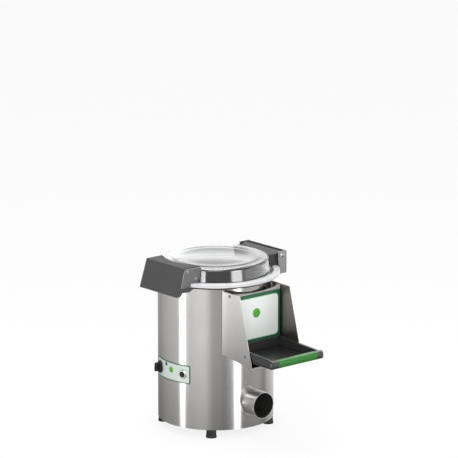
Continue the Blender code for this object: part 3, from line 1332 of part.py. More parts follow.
def lid_handle():
    half = HANDLE_HALF_WIDTH
    step_level = HANDLE_BOTTOM + HANDLE_STEP
    outline = [
        (-HANDLE_INNER, HANDLE_TOP),
        (-HANDLE_TOP_OUTER, HANDLE_TOP),
        (-HANDLE_BOTTOM_OUTER, HANDLE_BOTTOM),
        (-HANDLE_SKIRT_OUTER, HANDLE_BOTTOM),
        (HANDLE_STEP - HANDLE_SKIRT_OUTER, step_level),
        (-HANDLE_SKIRT_INNER, step_level),
        (-HANDLE_INNER, RING_TOP),
    ]
    cover = prism("handle_cover", outline, -half, half, GREY_PLASTIC, "XZ")
    top = HANDLE_TOP - HANDLE_WALL
    floor = HANDLE_BOTTOM - OVERRUN
    outline = [
        (handle_wall(top, HANDLE_WALL), top),
        (handle_wall(floor, HANDLE_WALL), floor),
        (OVERRUN - HANDLE_INNER, floor),
        (OVERRUN - HANDLE_INNER, top),
    ]
    inner = half - HANDLE_WALL
    room = prism("cover_room", outline, -inner, inner, None, "XZ")
    drum_cut = drum_cutter("cover_drum_cut", HANDLE_DRUM_GAP, floor, RING_TOP)
    cut(cover, room, lid_clearance("cover_lid_cut"), drum_cut)

    made = [cover]
    near = half + GAP
    far = near + CHEEK_SHEET
    outline = [
        (-HANDLE_INNER, CHEEK_TOP),
        (-CHEEK_TOP_OUTER, CHEEK_TOP),
        (-CHEEK_BOTTOM_OUTER, CHEEK_BOTTOM),
        (-HANDLE_INNER, CHEEK_BOTTOM),
    ]
    for name, side in (("front", -1), ("back", 1)):
        edges = sorted((side * near, side * far))
        cheek = prism(f"handle_cheek_{name}", outline, edges[0], edges[1], BRACKET_GREY, "XZ")
        for index, (reach, rise) in enumerate(CHEEK_SCREWS):
            frame = along((0, side, 0), (-reach, 0, DRUM_HEIGHT + rise))
            seat = near + CHEEK_SHEET / 2
            top = far + CHEEK_SCREW_HEIGHT
            title = f"cheek_screw_{name}_{index}"
            join(cheek, rod(title, CHEEK_SCREW_RADIUS, seat, top, None, SMALL_STEPS, frame))
        cut(cheek, lid_clearance(f"cheek_lid_cut_{name}"))
        made.append(cheek)

    low = SENSOR_LEVEL + SENSOR_SIZE[1] / 4
    high = SENSOR_LEVEL + SENSOR_SIZE[1]
    depth = HANDLE_WALL + GAP
    outline = [
        (handle_wall(high, depth), high),
        (handle_wall(low, depth), low),
        (-MAGNET_REACH, low),
        (-MAGNET_REACH, high),
    ]
    half = SENSOR_SIZE[0] / 2
    magnet = prism("safety_magnet", outline, SENSOR_Y - half, SENSOR_Y + half, BLACK_PLASTIC, "XZ")
    low_corner = (-SENSOR_REACH, SENSOR_Y - half, SENSOR_LEVEL)
    sensor = block("lid_sensor", low_corner, (-DRUM_RADIUS / 2, SENSOR_Y + half, high), BLACK_PLASTIC)
    cut(sensor, drum_cutter("sensor_drum_cut", GAP, SENSOR_LEVEL - OVERRUN, high + OVERRUN))
    return made + [magnet]


def rim_seal():
    inside = DRUM_INNER - GAP
    outside = DRUM_RADIUS + GAP
    low = DRUM_HEIGHT - SEAL_LEG
    outline = [
        (inside - SEAL_COVER, low),
        (inside, low),
        (inside, DRUM_HEIGHT + GAP),
        (outside, DRUM_HEIGHT + GAP),
        (outside, low),
        (outside + SEAL_COVER, low),
        (outside + SEAL_COVER, SEAL_TOP),
        (inside - SEAL_COVER, SEAL_TOP),
    ]
    return turned("rim_seal", outline, RUBBER, DRUM_STEPS)


base_plate()
feet()
drum_shell()
chamber()
bearing_unit()
spindle()
motor_unit()
electrics()
control_panel()
outlet()
hood()
door()
rim_seal()
lid_parts = [lid_ring(), lid_dome(), hinge()]
axis_empty("lid_axis", (HINGE_X, 0, HINGE_LEVEL), lid_parts + lid_handle())
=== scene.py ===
# Bench-top potato peeler, dressed for the studio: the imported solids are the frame,
# and each section below finishes one piece of it in the order it is put together.
import json
import math

import bmesh
import bpy
from mathutils import Matrix, Vector

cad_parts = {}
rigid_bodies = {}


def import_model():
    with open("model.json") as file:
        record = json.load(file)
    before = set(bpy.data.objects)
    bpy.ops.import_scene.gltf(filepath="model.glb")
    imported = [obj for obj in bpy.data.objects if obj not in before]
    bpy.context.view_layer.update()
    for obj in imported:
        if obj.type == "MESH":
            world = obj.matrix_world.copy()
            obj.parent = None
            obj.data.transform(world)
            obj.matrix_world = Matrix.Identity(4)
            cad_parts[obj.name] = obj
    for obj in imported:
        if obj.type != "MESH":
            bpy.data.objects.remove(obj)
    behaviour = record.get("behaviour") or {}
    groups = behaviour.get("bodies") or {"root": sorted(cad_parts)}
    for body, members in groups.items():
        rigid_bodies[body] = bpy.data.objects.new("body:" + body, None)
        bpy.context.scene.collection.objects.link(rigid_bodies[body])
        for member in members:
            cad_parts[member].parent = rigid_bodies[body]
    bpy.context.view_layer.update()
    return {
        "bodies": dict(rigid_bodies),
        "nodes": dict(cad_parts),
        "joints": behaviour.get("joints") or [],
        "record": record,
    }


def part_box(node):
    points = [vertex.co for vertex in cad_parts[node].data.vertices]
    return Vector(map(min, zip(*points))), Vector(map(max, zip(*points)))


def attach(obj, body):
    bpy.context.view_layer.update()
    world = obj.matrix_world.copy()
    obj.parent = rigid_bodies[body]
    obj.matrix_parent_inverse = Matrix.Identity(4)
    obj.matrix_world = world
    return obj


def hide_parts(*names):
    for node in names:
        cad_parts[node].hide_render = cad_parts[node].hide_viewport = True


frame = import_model()
solids = frame["nodes"]
mm = 0.001


# Studio: a pale floor under a white surround. The surround has the light and dark panels
# whose reflections run down the drum, and three soft lamps light everything that isn't metal.
def feed(socket, source):
    """Give a socket a plain value, or join another node's output to it."""
    if isinstance(source, bpy.types.NodeSocket):
        socket.id_data.links.new(source, socket)
    else:
        socket.default_value = source


def set_values(node, values):
    for name, value in values.items():
        feed(node.inputs[name], value)
    return node


def shader_of(material):
    return material.node_tree.nodes["Principled BSDF"]


def fresh_material(name):
    """A new finish, with its nodes and its shader."""
    made = bpy.data.materials.new(name)
    made.use_nodes = True
    return made, made.node_tree, shader_of(made)


def add_node(tree, kind, settings=None, **values):
    node = tree.nodes.new("ShaderNode" + kind)
    for setting, value in (settings or {}).items():
        setattr(node, setting, value)
    return set_values(node, {name.replace("_", " "): value for name, value in values.items()})


def fed(node, *sources):
    """Feed a node's sockets in order and give back what it makes."""
    sockets = [socket for socket in node.inputs if socket.enabled]
    for socket, source in zip(sockets, sources):
        feed(socket, source)
    return next(socket for socket in node.outputs if socket.enabled)


def maths(tree, operation, *sources):
    return fed(add_node(tree, "Math", {"operation": operation}), *sources)


def mixed_shader(tree, share, low, high):
    return fed(add_node(tree, "MixShader"), share, low, high)


def coordinates(tree, kind="Object"):
    """X, Y and Z of the place or the direction that a finish is worked out for."""
    place = add_node(tree, "TexCoord").outputs[kind]
    return add_node(tree, "SeparateXYZ", Vector=place).outputs


def ramp(tree, stops, source):
    """A colour ramp with (position, grey or colour) stops, fed by one output."""
    node = tree.nodes.new("ShaderNodeValToRGB")
    points = node.color_ramp.elements
    while len(points) < len(stops):
        points.new(0.5)
    for point, (position, colour) in zip(points, stops):
        point.position = position
        point.color = (*colour, 1) if isinstance(colour, tuple) else (colour, colour, colour, 1)
    return fed(node, source)


def surround_panels(tree, turn, stops):
    """Panels that change with the direction round the object, from (degrees, brightness) stops."""
    return ramp(tree, [((angle + 180) / 360, share / PANEL_PEAK) for angle, share in stops], turn)


def blend(tree, share, low, high):
    """One colour that turns into another as a share goes from 0 to 1."""
    return fed(add_node(tree, "Mix", {"data_type": "RGBA"}), share, low, high)


def span(tree, source, low, high):
    """How far a number has gone from one end to the other, from 0 to 1."""
    return fed(add_node(tree, "MapRange"), source, low, high)


def seen_by_camera(tree):
    """1 for what the camera sees, straight or through something clear, and 0 for the rest."""
    rays = add_node(tree, "LightPath").outputs
    return maths(tree, "MAXIMUM", rays["Is Camera Ray"], rays["Is Transmission Ray"])


def studio_surround():
    """White behind the object; for reflections, panels that change with the direction round it."""
    world = bpy.data.worlds.new("studio")
    bpy.context.scene.world = world
    world.use_nodes = True
    tree = world.node_tree
    way = coordinates(tree, "Generated")
    turn = maths(tree, "ARCTAN2", way["X"], maths(tree, "MULTIPLY", way["Y"], -1))
    around = span(tree, turn, -math.pi, math.pi)
    low_walls = surround_panels(tree, around, FLOOR_PANELS)
    high_walls = surround_panels(tree, around, WALL_PANELS)
    walls = blend(tree, span(tree, way["Z"], *WALL_START), low_walls, high_walls)
    sideways = add_node(tree, "VectorMath", {"operation": "DOT_PRODUCT"})
    lamp_side = (math.cos(STRIP_LIGHT_TURN), math.sin(STRIP_LIGHT_TURN), 0)
    across = fed(sideways, add_node(tree, "TexCoord").outputs["Generated"], lamp_side)
    stops = [((1 + off) / 2, share / PANEL_PEAK) for off, share in STRIP_LIGHT]
    strip_light = ramp(tree, stops, span(tree, across, -1, 1))
    low_ceiling = ramp(tree, [(rise, share / PANEL_PEAK) for rise, share in CEILING], way["Z"])
    ceiling = blend(tree, span(tree, way["Z"], *STRIP_LIGHT_START), low_ceiling, strip_light)
    panels = blend(tree, span(tree, way["Z"], *CEILING_START), walls, ceiling)
    shine = add_node(tree, "Background", Color=panels, Strength=PANEL_PEAK)
    white = add_node(tree, "Background", Color=(1, 1, 1, 1))
    soft = add_node(tree, "Background", Color=(1, 1, 1, 1), Strength=AMBIENT_STRENGTH)
    gloss = add_node(tree, "LightPath").outputs["Is Glossy Ray"]
    for_gloss = mixed_shader(tree, gloss, soft.outputs[0], shine.outputs[0])
    for_camera = mixed_shader(tree, seen_by_camera(tree), for_gloss, white.outputs[0])
    set_values(tree.nodes["World Output"], {"Surface": for_camera})


# Brightness by direction in degrees, 0 towards the door and 90 towards the lid hinge.
PANEL_PEAK = 14
FLOOR_PANELS = (
    (-180, 0.41),
    (-160, 0.53),
    (-145, 0.61),
    (-116.5, 0.67),
    (-113.5, 4),
    (-105.5, 4),
    (-103, 0.87),
    (-94, 0.78),
    (-76, 0.86),
    (-60, 0.85),
    (-46, 0.48),
    (-34, 0.46),
    (-22, 0.37),
    (-9, 0.6),
    (-3.5, 0.85),
    (-1, 4),
    (9.2, 4),
    (11.2, 0.5),
    (16, 0.41),
    (23, 0.49),
    (54, 0.55),
    (72, 0.36),
    (84, 0.71),
    (124, 1.15),
    (160, 0.39),
)
WALL_PANELS = (
    (-180, 0.6),
    (-120, 0.6),
    (-100, 0.9),
    (-72, 0.6),
    (-69, 13),
    (-63, 13),
    (-60, 0.4),
    (-10, 0.4),
    (-4, 13),
    (14, 13),
    (18, 1),
    (26, 2.6),
    (90, 3.2),
    (140, 2),
)
# Brightness by the sine of the elevation.
CEILING = (
    (0.12, 0.1),
    (0.17, 0.2),
    (0.21, 0.8),
    (0.25, 2.1),
    (0.28, 2.1),
    (0.31, 1.4),
    (0.37, 0.9),
    (0.42, 0.6),
)
# The long lamp overhead, by how far to its side a direction goes.
STRIP_LIGHT = ((-0.3, 0.5), (-0.22, 5), (0.22, 5), (0.32, 0.5))
STRIP_LIGHT_TURN = math.radians(-40)
STRIP_LIGHT_START = (0.42, 0.55)
WALL_START = (-0.19, -0.13)
CEILING_START = (0.06, 0.12)
AMBIENT_STRENGTH = 0.75
studio_surround()


# Each lamp has its place and its target in metres, its width and height, and its power in watts.
LAMPS = {
    "key_lamp": ((-1.9, -2.2, 1.9), (0, 0, 0.2), (1.4, 1.4), 42),
    "fill_lamp": ((2.4, -1.7, 1.3), (0, 0, 0.25), (1.2, 1.6), 14),
    "top_lamp": ((-0.2, 0.4, 2.6), (0, 0, 0.3), (1.6, 1.6), 22),
}


def placed(name, data):
    """An object of the scene that holds a lamp, the camera or a mesh."""
    made = bpy.data.objects.new(name, data)
    bpy.context.scene.collection.objects.link(made)
    return made


def soft_lamp(name, place, target, size, power):
    lamp = bpy.data.lights.new(name, "AREA")
    lamp.shape = "RECTANGLE"
    lamp.size, lamp.size_y = size
    lamp.energy = power
    made = placed(name, lamp)
    made.location = place
    made.rotation_euler = (Vector(target) - Vector(place)).to_track_quat("-Z", "Y").to_euler()
    made.visible_glossy = False


for name, settings in LAMPS.items():
    soft_lamp(name, *settings)

FLOOR_LEVEL = -24 * mm
FLOOR_HALF = 14
FLOOR_TONE = (0.86, 0.86, 0.86, 1)
FLOOR_ROUGHNESS = 0.9


def placed_mesh(name, bm):
    """An object of the scene with the mesh that was worked on."""
    mesh = bpy.data.meshes.new(name)
    bm.to_mesh(mesh)
    bm.free()
    return placed(name, mesh)


def studio_floor():
    bm = bmesh.new()
    bmesh.ops.create_grid(bm, x_segments=1, y_segments=1, size=FLOOR_HALF)
    bmesh.ops.translate(bm, verts=bm.verts, vec=(0, 0, FLOOR_LEVEL))
    floor = placed_mesh("studio_floor", bm)
    material, tree, matt = fresh_material("studio_floor")
    set_values(matt, {"Base Color": FLOOR_TONE, "Roughness": FLOOR_ROUGHNESS})
    glow = add_node(tree, "Emission", Color=(1, 1, 1, 1), Strength=1.0)
    share = maths(tree, "MULTIPLY", seen_by_camera(tree), FLOOR_GLOW_SHARE)
    for_camera = mixed_shader(tree, share, matt.outputs[0], glow.outputs[0])
    distance = add_node(tree, "VectorMath", {"operation": "LENGTH"})
    reach = fed(distance, add_node(tree, "TexCoord").outputs["Object"])
    stops = [(reached / FLOOR_SHADE_REACH, shade) for reached, shade in FLOOR_SHADE]
    shade = ramp(tree, stops, span(tree, reach, 0, FLOOR_SHADE_REACH))
    clear = fed(add_node(tree, "BsdfTransparent"), shade)
    gloss = add_node(tree, "LightPath").outputs["Is Glossy Ray"]
    for_gloss = mixed_shader(tree, gloss, for_camera, clear)
    set_values(tree.nodes["Material Output"], {"Surface": for_gloss})
    floor.data.materials.append(material)


# Metal sees the surround through the floor, dimmed close to the object, whose shadow lies there.
FLOOR_GLOW_SHARE = 0.84
FLOOR_SHADE_REACH = 1.6
FLOOR_SHADE = ((0.18, 0.5), (0.35, 0.6), (0.62, 0.73), (1.1, 0.92), (1.6, 1.0))
studio_floor()

# The camera stands 9 m off, left of the door, and looks a little above the middle of the drum.
CAMERA_AZIMUTH = math.radians(-40.2)
CAMERA_ELEVATION = math.radians(15.46)
CAMERA_DISTANCE = 9
CAMERA_SIGHT = 100
CAMERA_TARGET = Vector((0, 0, 216 * mm))
CAMERA_FOCAL_PIXELS = 3156.4
PICTURE_PIXELS = 458
TARGET_PIXEL = (215.75, 340.83)


def studio_camera():
    data = bpy.data.cameras.new("camera")
    camera = placed("camera", data)
    bpy.context.scene.camera = camera
    data.lens = data.sensor_width * CAMERA_FOCAL_PIXELS / PICTURE_PIXELS
    data.clip_end = CAMERA_SIGHT
    level = math.cos(CAMERA_ELEVATION)
    back = Vector((
        math.sin(CAMERA_AZIMUTH) * level,
        -math.cos(CAMERA_AZIMUTH) * level,
        math.sin(CAMERA_ELEVATION),
    ))
    camera.location = CAMERA_TARGET + back * CAMERA_DISTANCE
    # The target isn't in the middle of the picture, so the aim is turned off it.
    aside = math.atan((TARGET_PIXEL[0] - PICTURE_PIXELS / 2) / CAMERA_FOCAL_PIXELS)
    below = math.atan((TARGET_PIXEL[1] - PICTURE_PIXELS / 2) / CAMERA_FOCAL_PIXELS)
    aim = (-back).to_track_quat("-Z", "Y").to_matrix()
    tilt = Matrix.Rotation(below, 3, "X") @ Matrix.Rotation(aside, 3, "Y")
    camera.rotation_euler = (aim @ tilt).to_euler()


studio_camera()
bpy.context.scene.view_settings.view_transform = "Standard"


# Base plate and feet: a pressed zinc-plated pan closes the drum from below, and four
# moulded rubber feet are screwed up through it on their studs.
SMOOTH_ANGLE = math.radians(50)
MERGE_DISTANCE = 0.001 * mm
ROUND_STEPS = 96
OUTLINE_SEGMENTS = 3
NOISE_ENDS = (0.3, 0.7)
GAP = 0.3 * mm


def closed_up(bm):
    """Merge what meets, with every face turned outwards."""
    bmesh.ops.remove_doubles(bm, verts=bm.verts, dist=MERGE_DISTANCE)
    bmesh.ops.recalc_face_normals(bm, faces=bm.faces)
    return bm


def finished(name, bm, material, body, slot, *stands_for):
    """Close up a mesh, give it its finish and let it ride on its body."""
    made = placed_mesh(name, closed_up(bm))
    made.data.shade_smooth()
    made.data.set_sharp_from_angle(angle=SMOOTH_ANGLE)
    made.data.materials.append(material)
    even = made.modifiers.new("even_shading", "WEIGHTED_NORMAL")
    even.keep_sharp = True
    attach(made, body)
    if stands_for:
        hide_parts(*stands_for)


def refinish(material, *names):
    """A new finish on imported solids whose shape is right."""
    for name in names:
        solids[name].data.materials.clear()
        solids[name].data.materials.append(material)


def round_off(bm, geom, width, segments, affect="EDGES"):
    """Round off the edges that are given, or the corners of an outline."""
    bmesh.ops.bevel(
        bm, geom=geom, offset=width, segments=segments, profile=0.5,
        affect=affect, material=-1, clamp_overlap=True,
    )


def turned(bm, steps):
    """Turn a section once round local Z."""
    bmesh.ops.spin(
        bm, geom=bm.verts[:] + bm.edges[:], cent=(0, 0, 0), axis=(0, 0, 1),
        angle=math.tau, steps=steps, use_merge=True,
    )
    return closed_up(bm)


def lathe(outline, rounding=0, steps=ROUND_STEPS, frame=Matrix()):
    """Turn a closed outline of (radius, height) corners, rounded off, about local Z."""
    bm = bmesh.new()
    bm.faces.new([bm.verts.new((radius, 0, height)) for radius, height in outline])
    if rounding:
        off_axis = [corner for corner in bm.verts if corner.co.x > 0]
        round_off(bm, off_axis, rounding, OUTLINE_SEGMENTS, "VERTICES")
    bmesh.ops.delete(bm, geom=bm.faces[:], context="FACES_ONLY")
    on_axis = [edge for edge in bm.edges if edge.verts[0].co.x == edge.verts[1].co.x == 0]
    bmesh.ops.delete(bm, geom=on_axis, context="EDGES")
    turned(bm, steps)
    bmesh.ops.transform(bm, matrix=frame, verts=bm.verts)
    return bm


def worn_bump(tree, scale, strength, distance, stretch=(1, 1, 1), detail=4.0):
    """Fine unevenness from noise on the piece's own coordinates: (normal, noise)."""
    place = add_node(tree, "TexCoord").outputs["Object"]
    fit = add_node(tree, "Mapping", Vector=place, Scale=stretch)
    noise = fed(add_node(tree, "TexNoise", Scale=scale, Detail=detail), fit.outputs[0])
    bump = add_node(tree, "Bump", Strength=strength, Distance=distance, Height=noise)
    return bump.outputs["Normal"], noise


def drift(tree, noise, low, high, ends=NOISE_ENDS):
    """Two greys, colours or roughnesses that a pattern runs between."""
    return ramp(tree, list(zip(ends, (low, high))), noise)


def mottled(name, dark, light, rough, scale, bump, stretch=(1, 1, 1), metallic=0.0, size=0.1 * mm):
    """A finish whose colour and roughness drift between two ends, over a fine bump."""
    material, tree, shader = fresh_material(name)
    normal, noise = worn_bump(tree, scale, bump, size, stretch)
    set_values(shader, {
        "Metallic": metallic,
        "Normal": normal,
        "Base Color": drift(tree, noise, dark, light),
        "Roughness": drift(tree, noise, *rough),
    })
    return material


zinc = mottled(
    "zinc_plate", (0.33, 0.33, 0.32), (0.5, 0.5, 0.48), (0.35, 0.5), scale=60, bump=0.1, metallic=1.0,
)
refinish(zinc, "base_plate")

foot_rubber = mottled("foot_rubber", 0.004, 0.009, (0.55, 0.7), scale=900, bump=0.25)
FOOT_HEIGHT = 24 * mm
FOOT_RADIUS = 15.5 * mm
FOOT_TREAD = 5 * mm
FOOT_STEP = 1.2 * mm
FOOT_STEP_TOP = 7 * mm
FOOT_TAPER = 1.5 * mm
FOOT_ROUND = 0.7 * mm
FOOT_STUD_RADIUS = 4 * mm
FOOT_STUD_TOP = 10 * mm
FOOT_STEPS = 48
FOOT_RING = 150 * mm


def rubber_foot(name, angle):
    outline = [
        (0, -FOOT_HEIGHT),
        (FOOT_RADIUS, -FOOT_HEIGHT),
        (FOOT_RADIUS, FOOT_TREAD - FOOT_HEIGHT),
        (FOOT_RADIUS - FOOT_STEP, FOOT_STEP_TOP - FOOT_HEIGHT),
        (FOOT_RADIUS - FOOT_TAPER, -GAP),
        (FOOT_STUD_RADIUS, -GAP),
        (FOOT_STUD_RADIUS, FOOT_STUD_TOP),
        (0, FOOT_STUD_TOP),
    ]
    place = Matrix.Translation((FOOT_RING * math.sin(angle), -FOOT_RING * math.cos(angle), 0))
    bm = lathe(outline, FOOT_ROUND, FOOT_STEPS, place)
    finished(f"rubber_{name}", bm, foot_rubber, "housing", "black_rubber", name)


for foot, degrees in (
    ("foot_front_left", -45),
    ("foot_front_right", 45),
    ("foot_rear_right", 135),
    ("foot_rear_left", -135),
):
    rubber_foot(foot, math.radians(degrees))


# Drum: stainless sheet rolled into a cylinder, brushed round its circumference, with holes
# for the outlet, drain, controls, water and lead, and slots that cool the motor.
DRUM_RADIUS = 165 * mm
DRUM_WALL = 1.5 * mm
DRUM_HEIGHT = 414 * mm
DRUM_EDGE = 0.4 * mm
DRUM_STEPS = 240
OVERRUN = 6 * mm
STEEL_DARK = (0.665, 0.65, 0.64)
STEEL_LIGHT = (0.75, 0.74, 0.735)
STROKE_DEPTH = 0.02 * mm
STROKE_DETAIL = 3
STROKE_SHARE = 0.6
CLOUD_SCALE = 7
CLOUD_DETAIL = 2
CLOUD_SHARE = 0.4
ROUGH_SPREAD = (0.85, 1.2)
PLUG_STEPS = 64


def brushed_steel(name, lines, tone=1.0, rough=0.2, stretch=0.0, bump=0.12):
    """Satin stainless steel: fine brush lines, a faint cloudiness and a warm grey tone."""
    material, tree, shader = fresh_material(name)
    if stretch:
        around = add_node(tree, "Tangent", {"direction_type": "RADIAL", "axis": "Z"})
        set_values(shader, {"Tangent": around.outputs[0]})
    normal, strokes = worn_bump(tree, 1, bump, STROKE_DEPTH, lines, STROKE_DETAIL)
    place = add_node(tree, "TexCoord").outputs["Object"]
    cloud = fed(add_node(tree, "TexNoise", Scale=CLOUD_SCALE, Detail=CLOUD_DETAIL), place)
    haze = maths(tree, "MULTIPLY", cloud, CLOUD_SHARE)
    noise = maths(tree, "MULTIPLY_ADD", strokes, STROKE_SHARE, haze)
    dark, light = (tuple(part * tone for part in colour) for colour in (STEEL_DARK, STEEL_LIGHT))
    set_values(shader, {
        "Metallic": 1.0,
        "Anisotropic": stretch,
        "Normal": normal,
        "Base Color": drift(tree, noise, dark, light),
        "Roughness": drift(tree, noise, *[rough * share for share in ROUGH_SPREAD]),
    })
    return material


def evaluated(made):
    """An object as its modifiers leave it."""
    return made.evaluated_get(bpy.context.evaluated_depsgraph_get())


def carved(bm, *tools, operation="DIFFERENCE"):
    """The shape that is left when the tools are taken out of it, or what they share or add."""
    base = placed_mesh("loose", bm)
    cutters = [placed_mesh("loose", tool) for tool in tools]
    for cutter in cutters:
        step = base.modifiers.new("carve", "BOOLEAN")
        step.operation = operation
        step.solver = "EXACT"
        step.object = cutter
    result = bmesh.new()
    result.from_mesh(evaluated(base).to_mesh())
    for used in [base, *cutters]:
        bpy.data.meshes.remove(used.data)
    return result


def on_drum(angle, radius, level):
    """Frame on the drum's wall: local Z points outwards and local Y up."""
    out = Vector((math.sin(angle), -math.cos(angle), 0))
    up = Vector((0, 0, 1))
    turn = Matrix((up.cross(out), up, out)).transposed().to_4x4()
    return Matrix.Translation(out * radius + up * level) @ turn


def along(axis, centre=(0, 0, 0)):
    """Frame whose local Z points along an axis."""
    turn = Vector((0, 0, 1)).rotation_difference(Vector(axis)).to_matrix().to_4x4()
    return Matrix.Translation(centre) @ turn


def band(inner, outer, low, high):
    """The outline of a plain ring, or of a solid round where it starts at the middle."""
    return [(inner, low), (outer, low), (outer, high), (inner, high)]


def plug(radius, low, high, frame=Matrix(), steps=PLUG_STEPS):
    """A plain round, which also cuts holes."""
    return lathe(band(0, radius, low, high), 0, steps, frame)


def block(low, high):
    """A plain box between two corners."""
    bm = bmesh.new()
    bmesh.ops.create_cube(bm, size=1)
    size = Vector(high) - Vector(low)
    middle = (Vector(high) + Vector(low)) / 2
    bmesh.ops.scale(bm, vec=size, verts=bm.verts)
    bmesh.ops.translate(bm, vec=middle, verts=bm.verts)
    return bm


PANEL_ANGLE = math.radians(-92)
CONTROL_SPREAD = math.radians(18)
TIMER_ANGLE = PANEL_ANGLE - CONTROL_SPREAD
BUTTON_ANGLE = PANEL_ANGLE + CONTROL_SPREAD
PANEL_LEVEL = 157 * mm
GLAND_ANGLE = math.radians(152)
GLAND_LEVEL = 38 * mm
INLET_ANGLE = math.radians(165)
INLET_LEVEL = 384 * mm
DRAIN_RADIUS = 38.05 * mm
DRAIN_LEVEL = 71 * mm
OUTLET_HALF_WIDTH = 76 * mm
OUTLET_BOTTOM = 232 * mm
OUTLET_TOP = 370 * mm
TIMER_HOLE = 5 * mm
BUTTON_HOLE = 10.5 * mm
GLAND_HOLE = 8 * mm
INLET_HOLE = 10 * mm
SLOT_COUNT = 5
SLOT_START_DEGREES = 205
SLOT_PITCH_DEGREES = 5
SLOT_LEVEL = 96 * mm
SLOT_HALF_WIDTH = 2.5 * mm
SLOT_HALF_HEIGHT = 23 * mm
SLOT_ROUND = 2.45 * mm
CORNER_SEGMENTS = 6


def wall_hole(angle, level, radius):
    return plug(radius + GAP, -3 * OVERRUN, OVERRUN, on_drum(angle, DRUM_RADIUS, level))


def cooling_slots():
    """Upright slots, a few degrees apart, with round ends."""
    tools = []
    high = Vector((SLOT_HALF_WIDTH, SLOT_HALF_HEIGHT, OVERRUN))
    for index in range(SLOT_COUNT):
        angle = math.radians(SLOT_START_DEGREES + SLOT_PITCH_DEGREES * index)
        bm = block(-high, high)
        through = [edge for edge in bm.edges if edge.verts[0].co.z * edge.verts[1].co.z < 0]
        round_off(bm, through, SLOT_ROUND, CORNER_SEGMENTS)
        bmesh.ops.transform(bm, matrix=on_drum(angle, DRUM_RADIUS, SLOT_LEVEL), verts=bm.verts)
        tools.append(bm)
    return tools


def outlet_hole(reach):
    half = OUTLET_HALF_WIDTH + GAP
    return block((-half, -reach, OUTLET_BOTTOM - GAP), (half, -reach / 2, OUTLET_TOP + GAP))


def drum():
    outline = band(DRUM_RADIUS - DRUM_WALL, DRUM_RADIUS, 0, DRUM_HEIGHT)
    drain_way = along((0, -1, 0), (0, 0, DRAIN_LEVEL))
    bm = carved(
        lathe(outline, DRUM_EDGE, DRUM_STEPS),
        outlet_hole(DRUM_RADIUS + OVERRUN),
        plug(DRAIN_RADIUS + GAP, DRUM_RADIUS / 2, DRUM_RADIUS + OVERRUN, drain_way, ROUND_STEPS),
        wall_hole(TIMER_ANGLE, PANEL_LEVEL, TIMER_HOLE),
        wall_hole(BUTTON_ANGLE, PANEL_LEVEL, BUTTON_HOLE),
        wall_hole(GLAND_ANGLE, GLAND_LEVEL, GLAND_HOLE),
        wall_hole(INLET_ANGLE, INLET_LEVEL, INLET_HOLE),
        *cooling_slots(),
    )
    finished("steel_drum", bm, drum_steel, "housing", "brushed_steel", "drum_shell")


drum_steel = brushed_steel("drum_steel", (25, 25, 2600), tone=1.0, rough=0.12, stretch=0.6, bump=0.05)
drum()


# Peeling chamber: a steel pan with a drain hole closes it below, and a rubber-bonded coat
# of silicon carbide grit lines its wall. The waste pipe is bent steel tube, welded
# into the drum and ground smooth.
SHARP_ANGLE = math.radians(30)
FLAT_ANGLE = math.radians(0.6)
GRAIN_SHINE = 0.3
GRAIN_ENDS = (0.2, 0.55)
FACET_ENDS = (0.1, 0.5)


def soften(bm, width, segments=2):
    """Round off every edge where two faces meet at a sharp angle."""
    sharp = [edge for edge in bm.edges if edge.is_manifold and edge.calc_face_angle(0) > SHARP_ANGLE]
    round_off(bm, sharp, width, segments)
    return bm


def solid_copy(node):
    """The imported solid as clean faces, ready to be worked on."""
    bm = bmesh.new()
    bm.from_mesh(solids[node].data)
    bmesh.ops.remove_doubles(bm, verts=bm.verts, dist=MERGE_DISTANCE)
    bmesh.ops.dissolve_limit(bm, angle_limit=FLAT_ANGLE, verts=bm.verts, edges=bm.edges)
    return bm


def softened(node, width, material, body, slot, segments=2):
    """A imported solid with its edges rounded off, in a finish of its own."""
    bm = soften(solid_copy(node), width, segments)
    finished(f"fine_{node}", bm, material, body, slot, node)


def new_edges(bm, loop, step):
    """Extrude a loop of edges with one more step and give back the loop at its end."""
    grown = bmesh.ops.extrude_edge_only(bm, edges=loop)["geom"]
    corners = [item for item in grown if isinstance(item, bmesh.types.BMVert)]
    bmesh.ops.translate(bm, vec=step, verts=corners)
    there = set(corners)
    edges = [item for item in grown if isinstance(item, bmesh.types.BMEdge)]
    return [edge for edge in edges if set(edge.verts) <= there]


def speckled(name, base, spot, rough, scale, bump, depth):
    """Bonded grit: sharp grains of two shades standing out of a dark binder."""
    material, tree, shader = fresh_material(name)
    grain = add_node(tree, "TexVoronoi", Scale=scale)
    away = fed(grain, add_node(tree, "TexCoord").outputs["Object"])
    relief = add_node(tree, "Bump", Strength=bump, Distance=depth, Height=away)
    set_values(shader, {
        "Normal": relief.outputs[0],
        "Base Color": drift(tree, away, spot, base, GRAIN_ENDS),
        "Roughness": drift(tree, away, rough - GRAIN_SHINE, rough, FACET_ENDS),
    })
    return material


LINER_INNER = 157.7 * mm
LINER_OUTER = 163.2 * mm
LINER_BOTTOM = 240 * mm
LINER_TOP = 402 * mm
LINER_ROUND = 1.2 * mm
wall_grit = speckled(
    "wall_grit", (0.012, 0.012, 0.013), (0.07, 0.07, 0.075), 0.85, scale=420, bump=0.6, depth=1.2 * mm,
)


def liner():
    outline = band(LINER_INNER, LINER_OUTER, LINER_BOTTOM, LINER_TOP)
    bm = carved(lathe(outline, LINER_ROUND, DRUM_STEPS), outlet_hole(DRUM_RADIUS + OVERRUN))
    finished("grit_liner", bm, wall_grit, "housing", "abrasive_grit", "abrasive_liner")


liner()
pan_steel = brushed_steel("pan_steel", (900, 60, 60), tone=0.8, rough=0.3)
refinish(pan_steel, "chamber_floor")

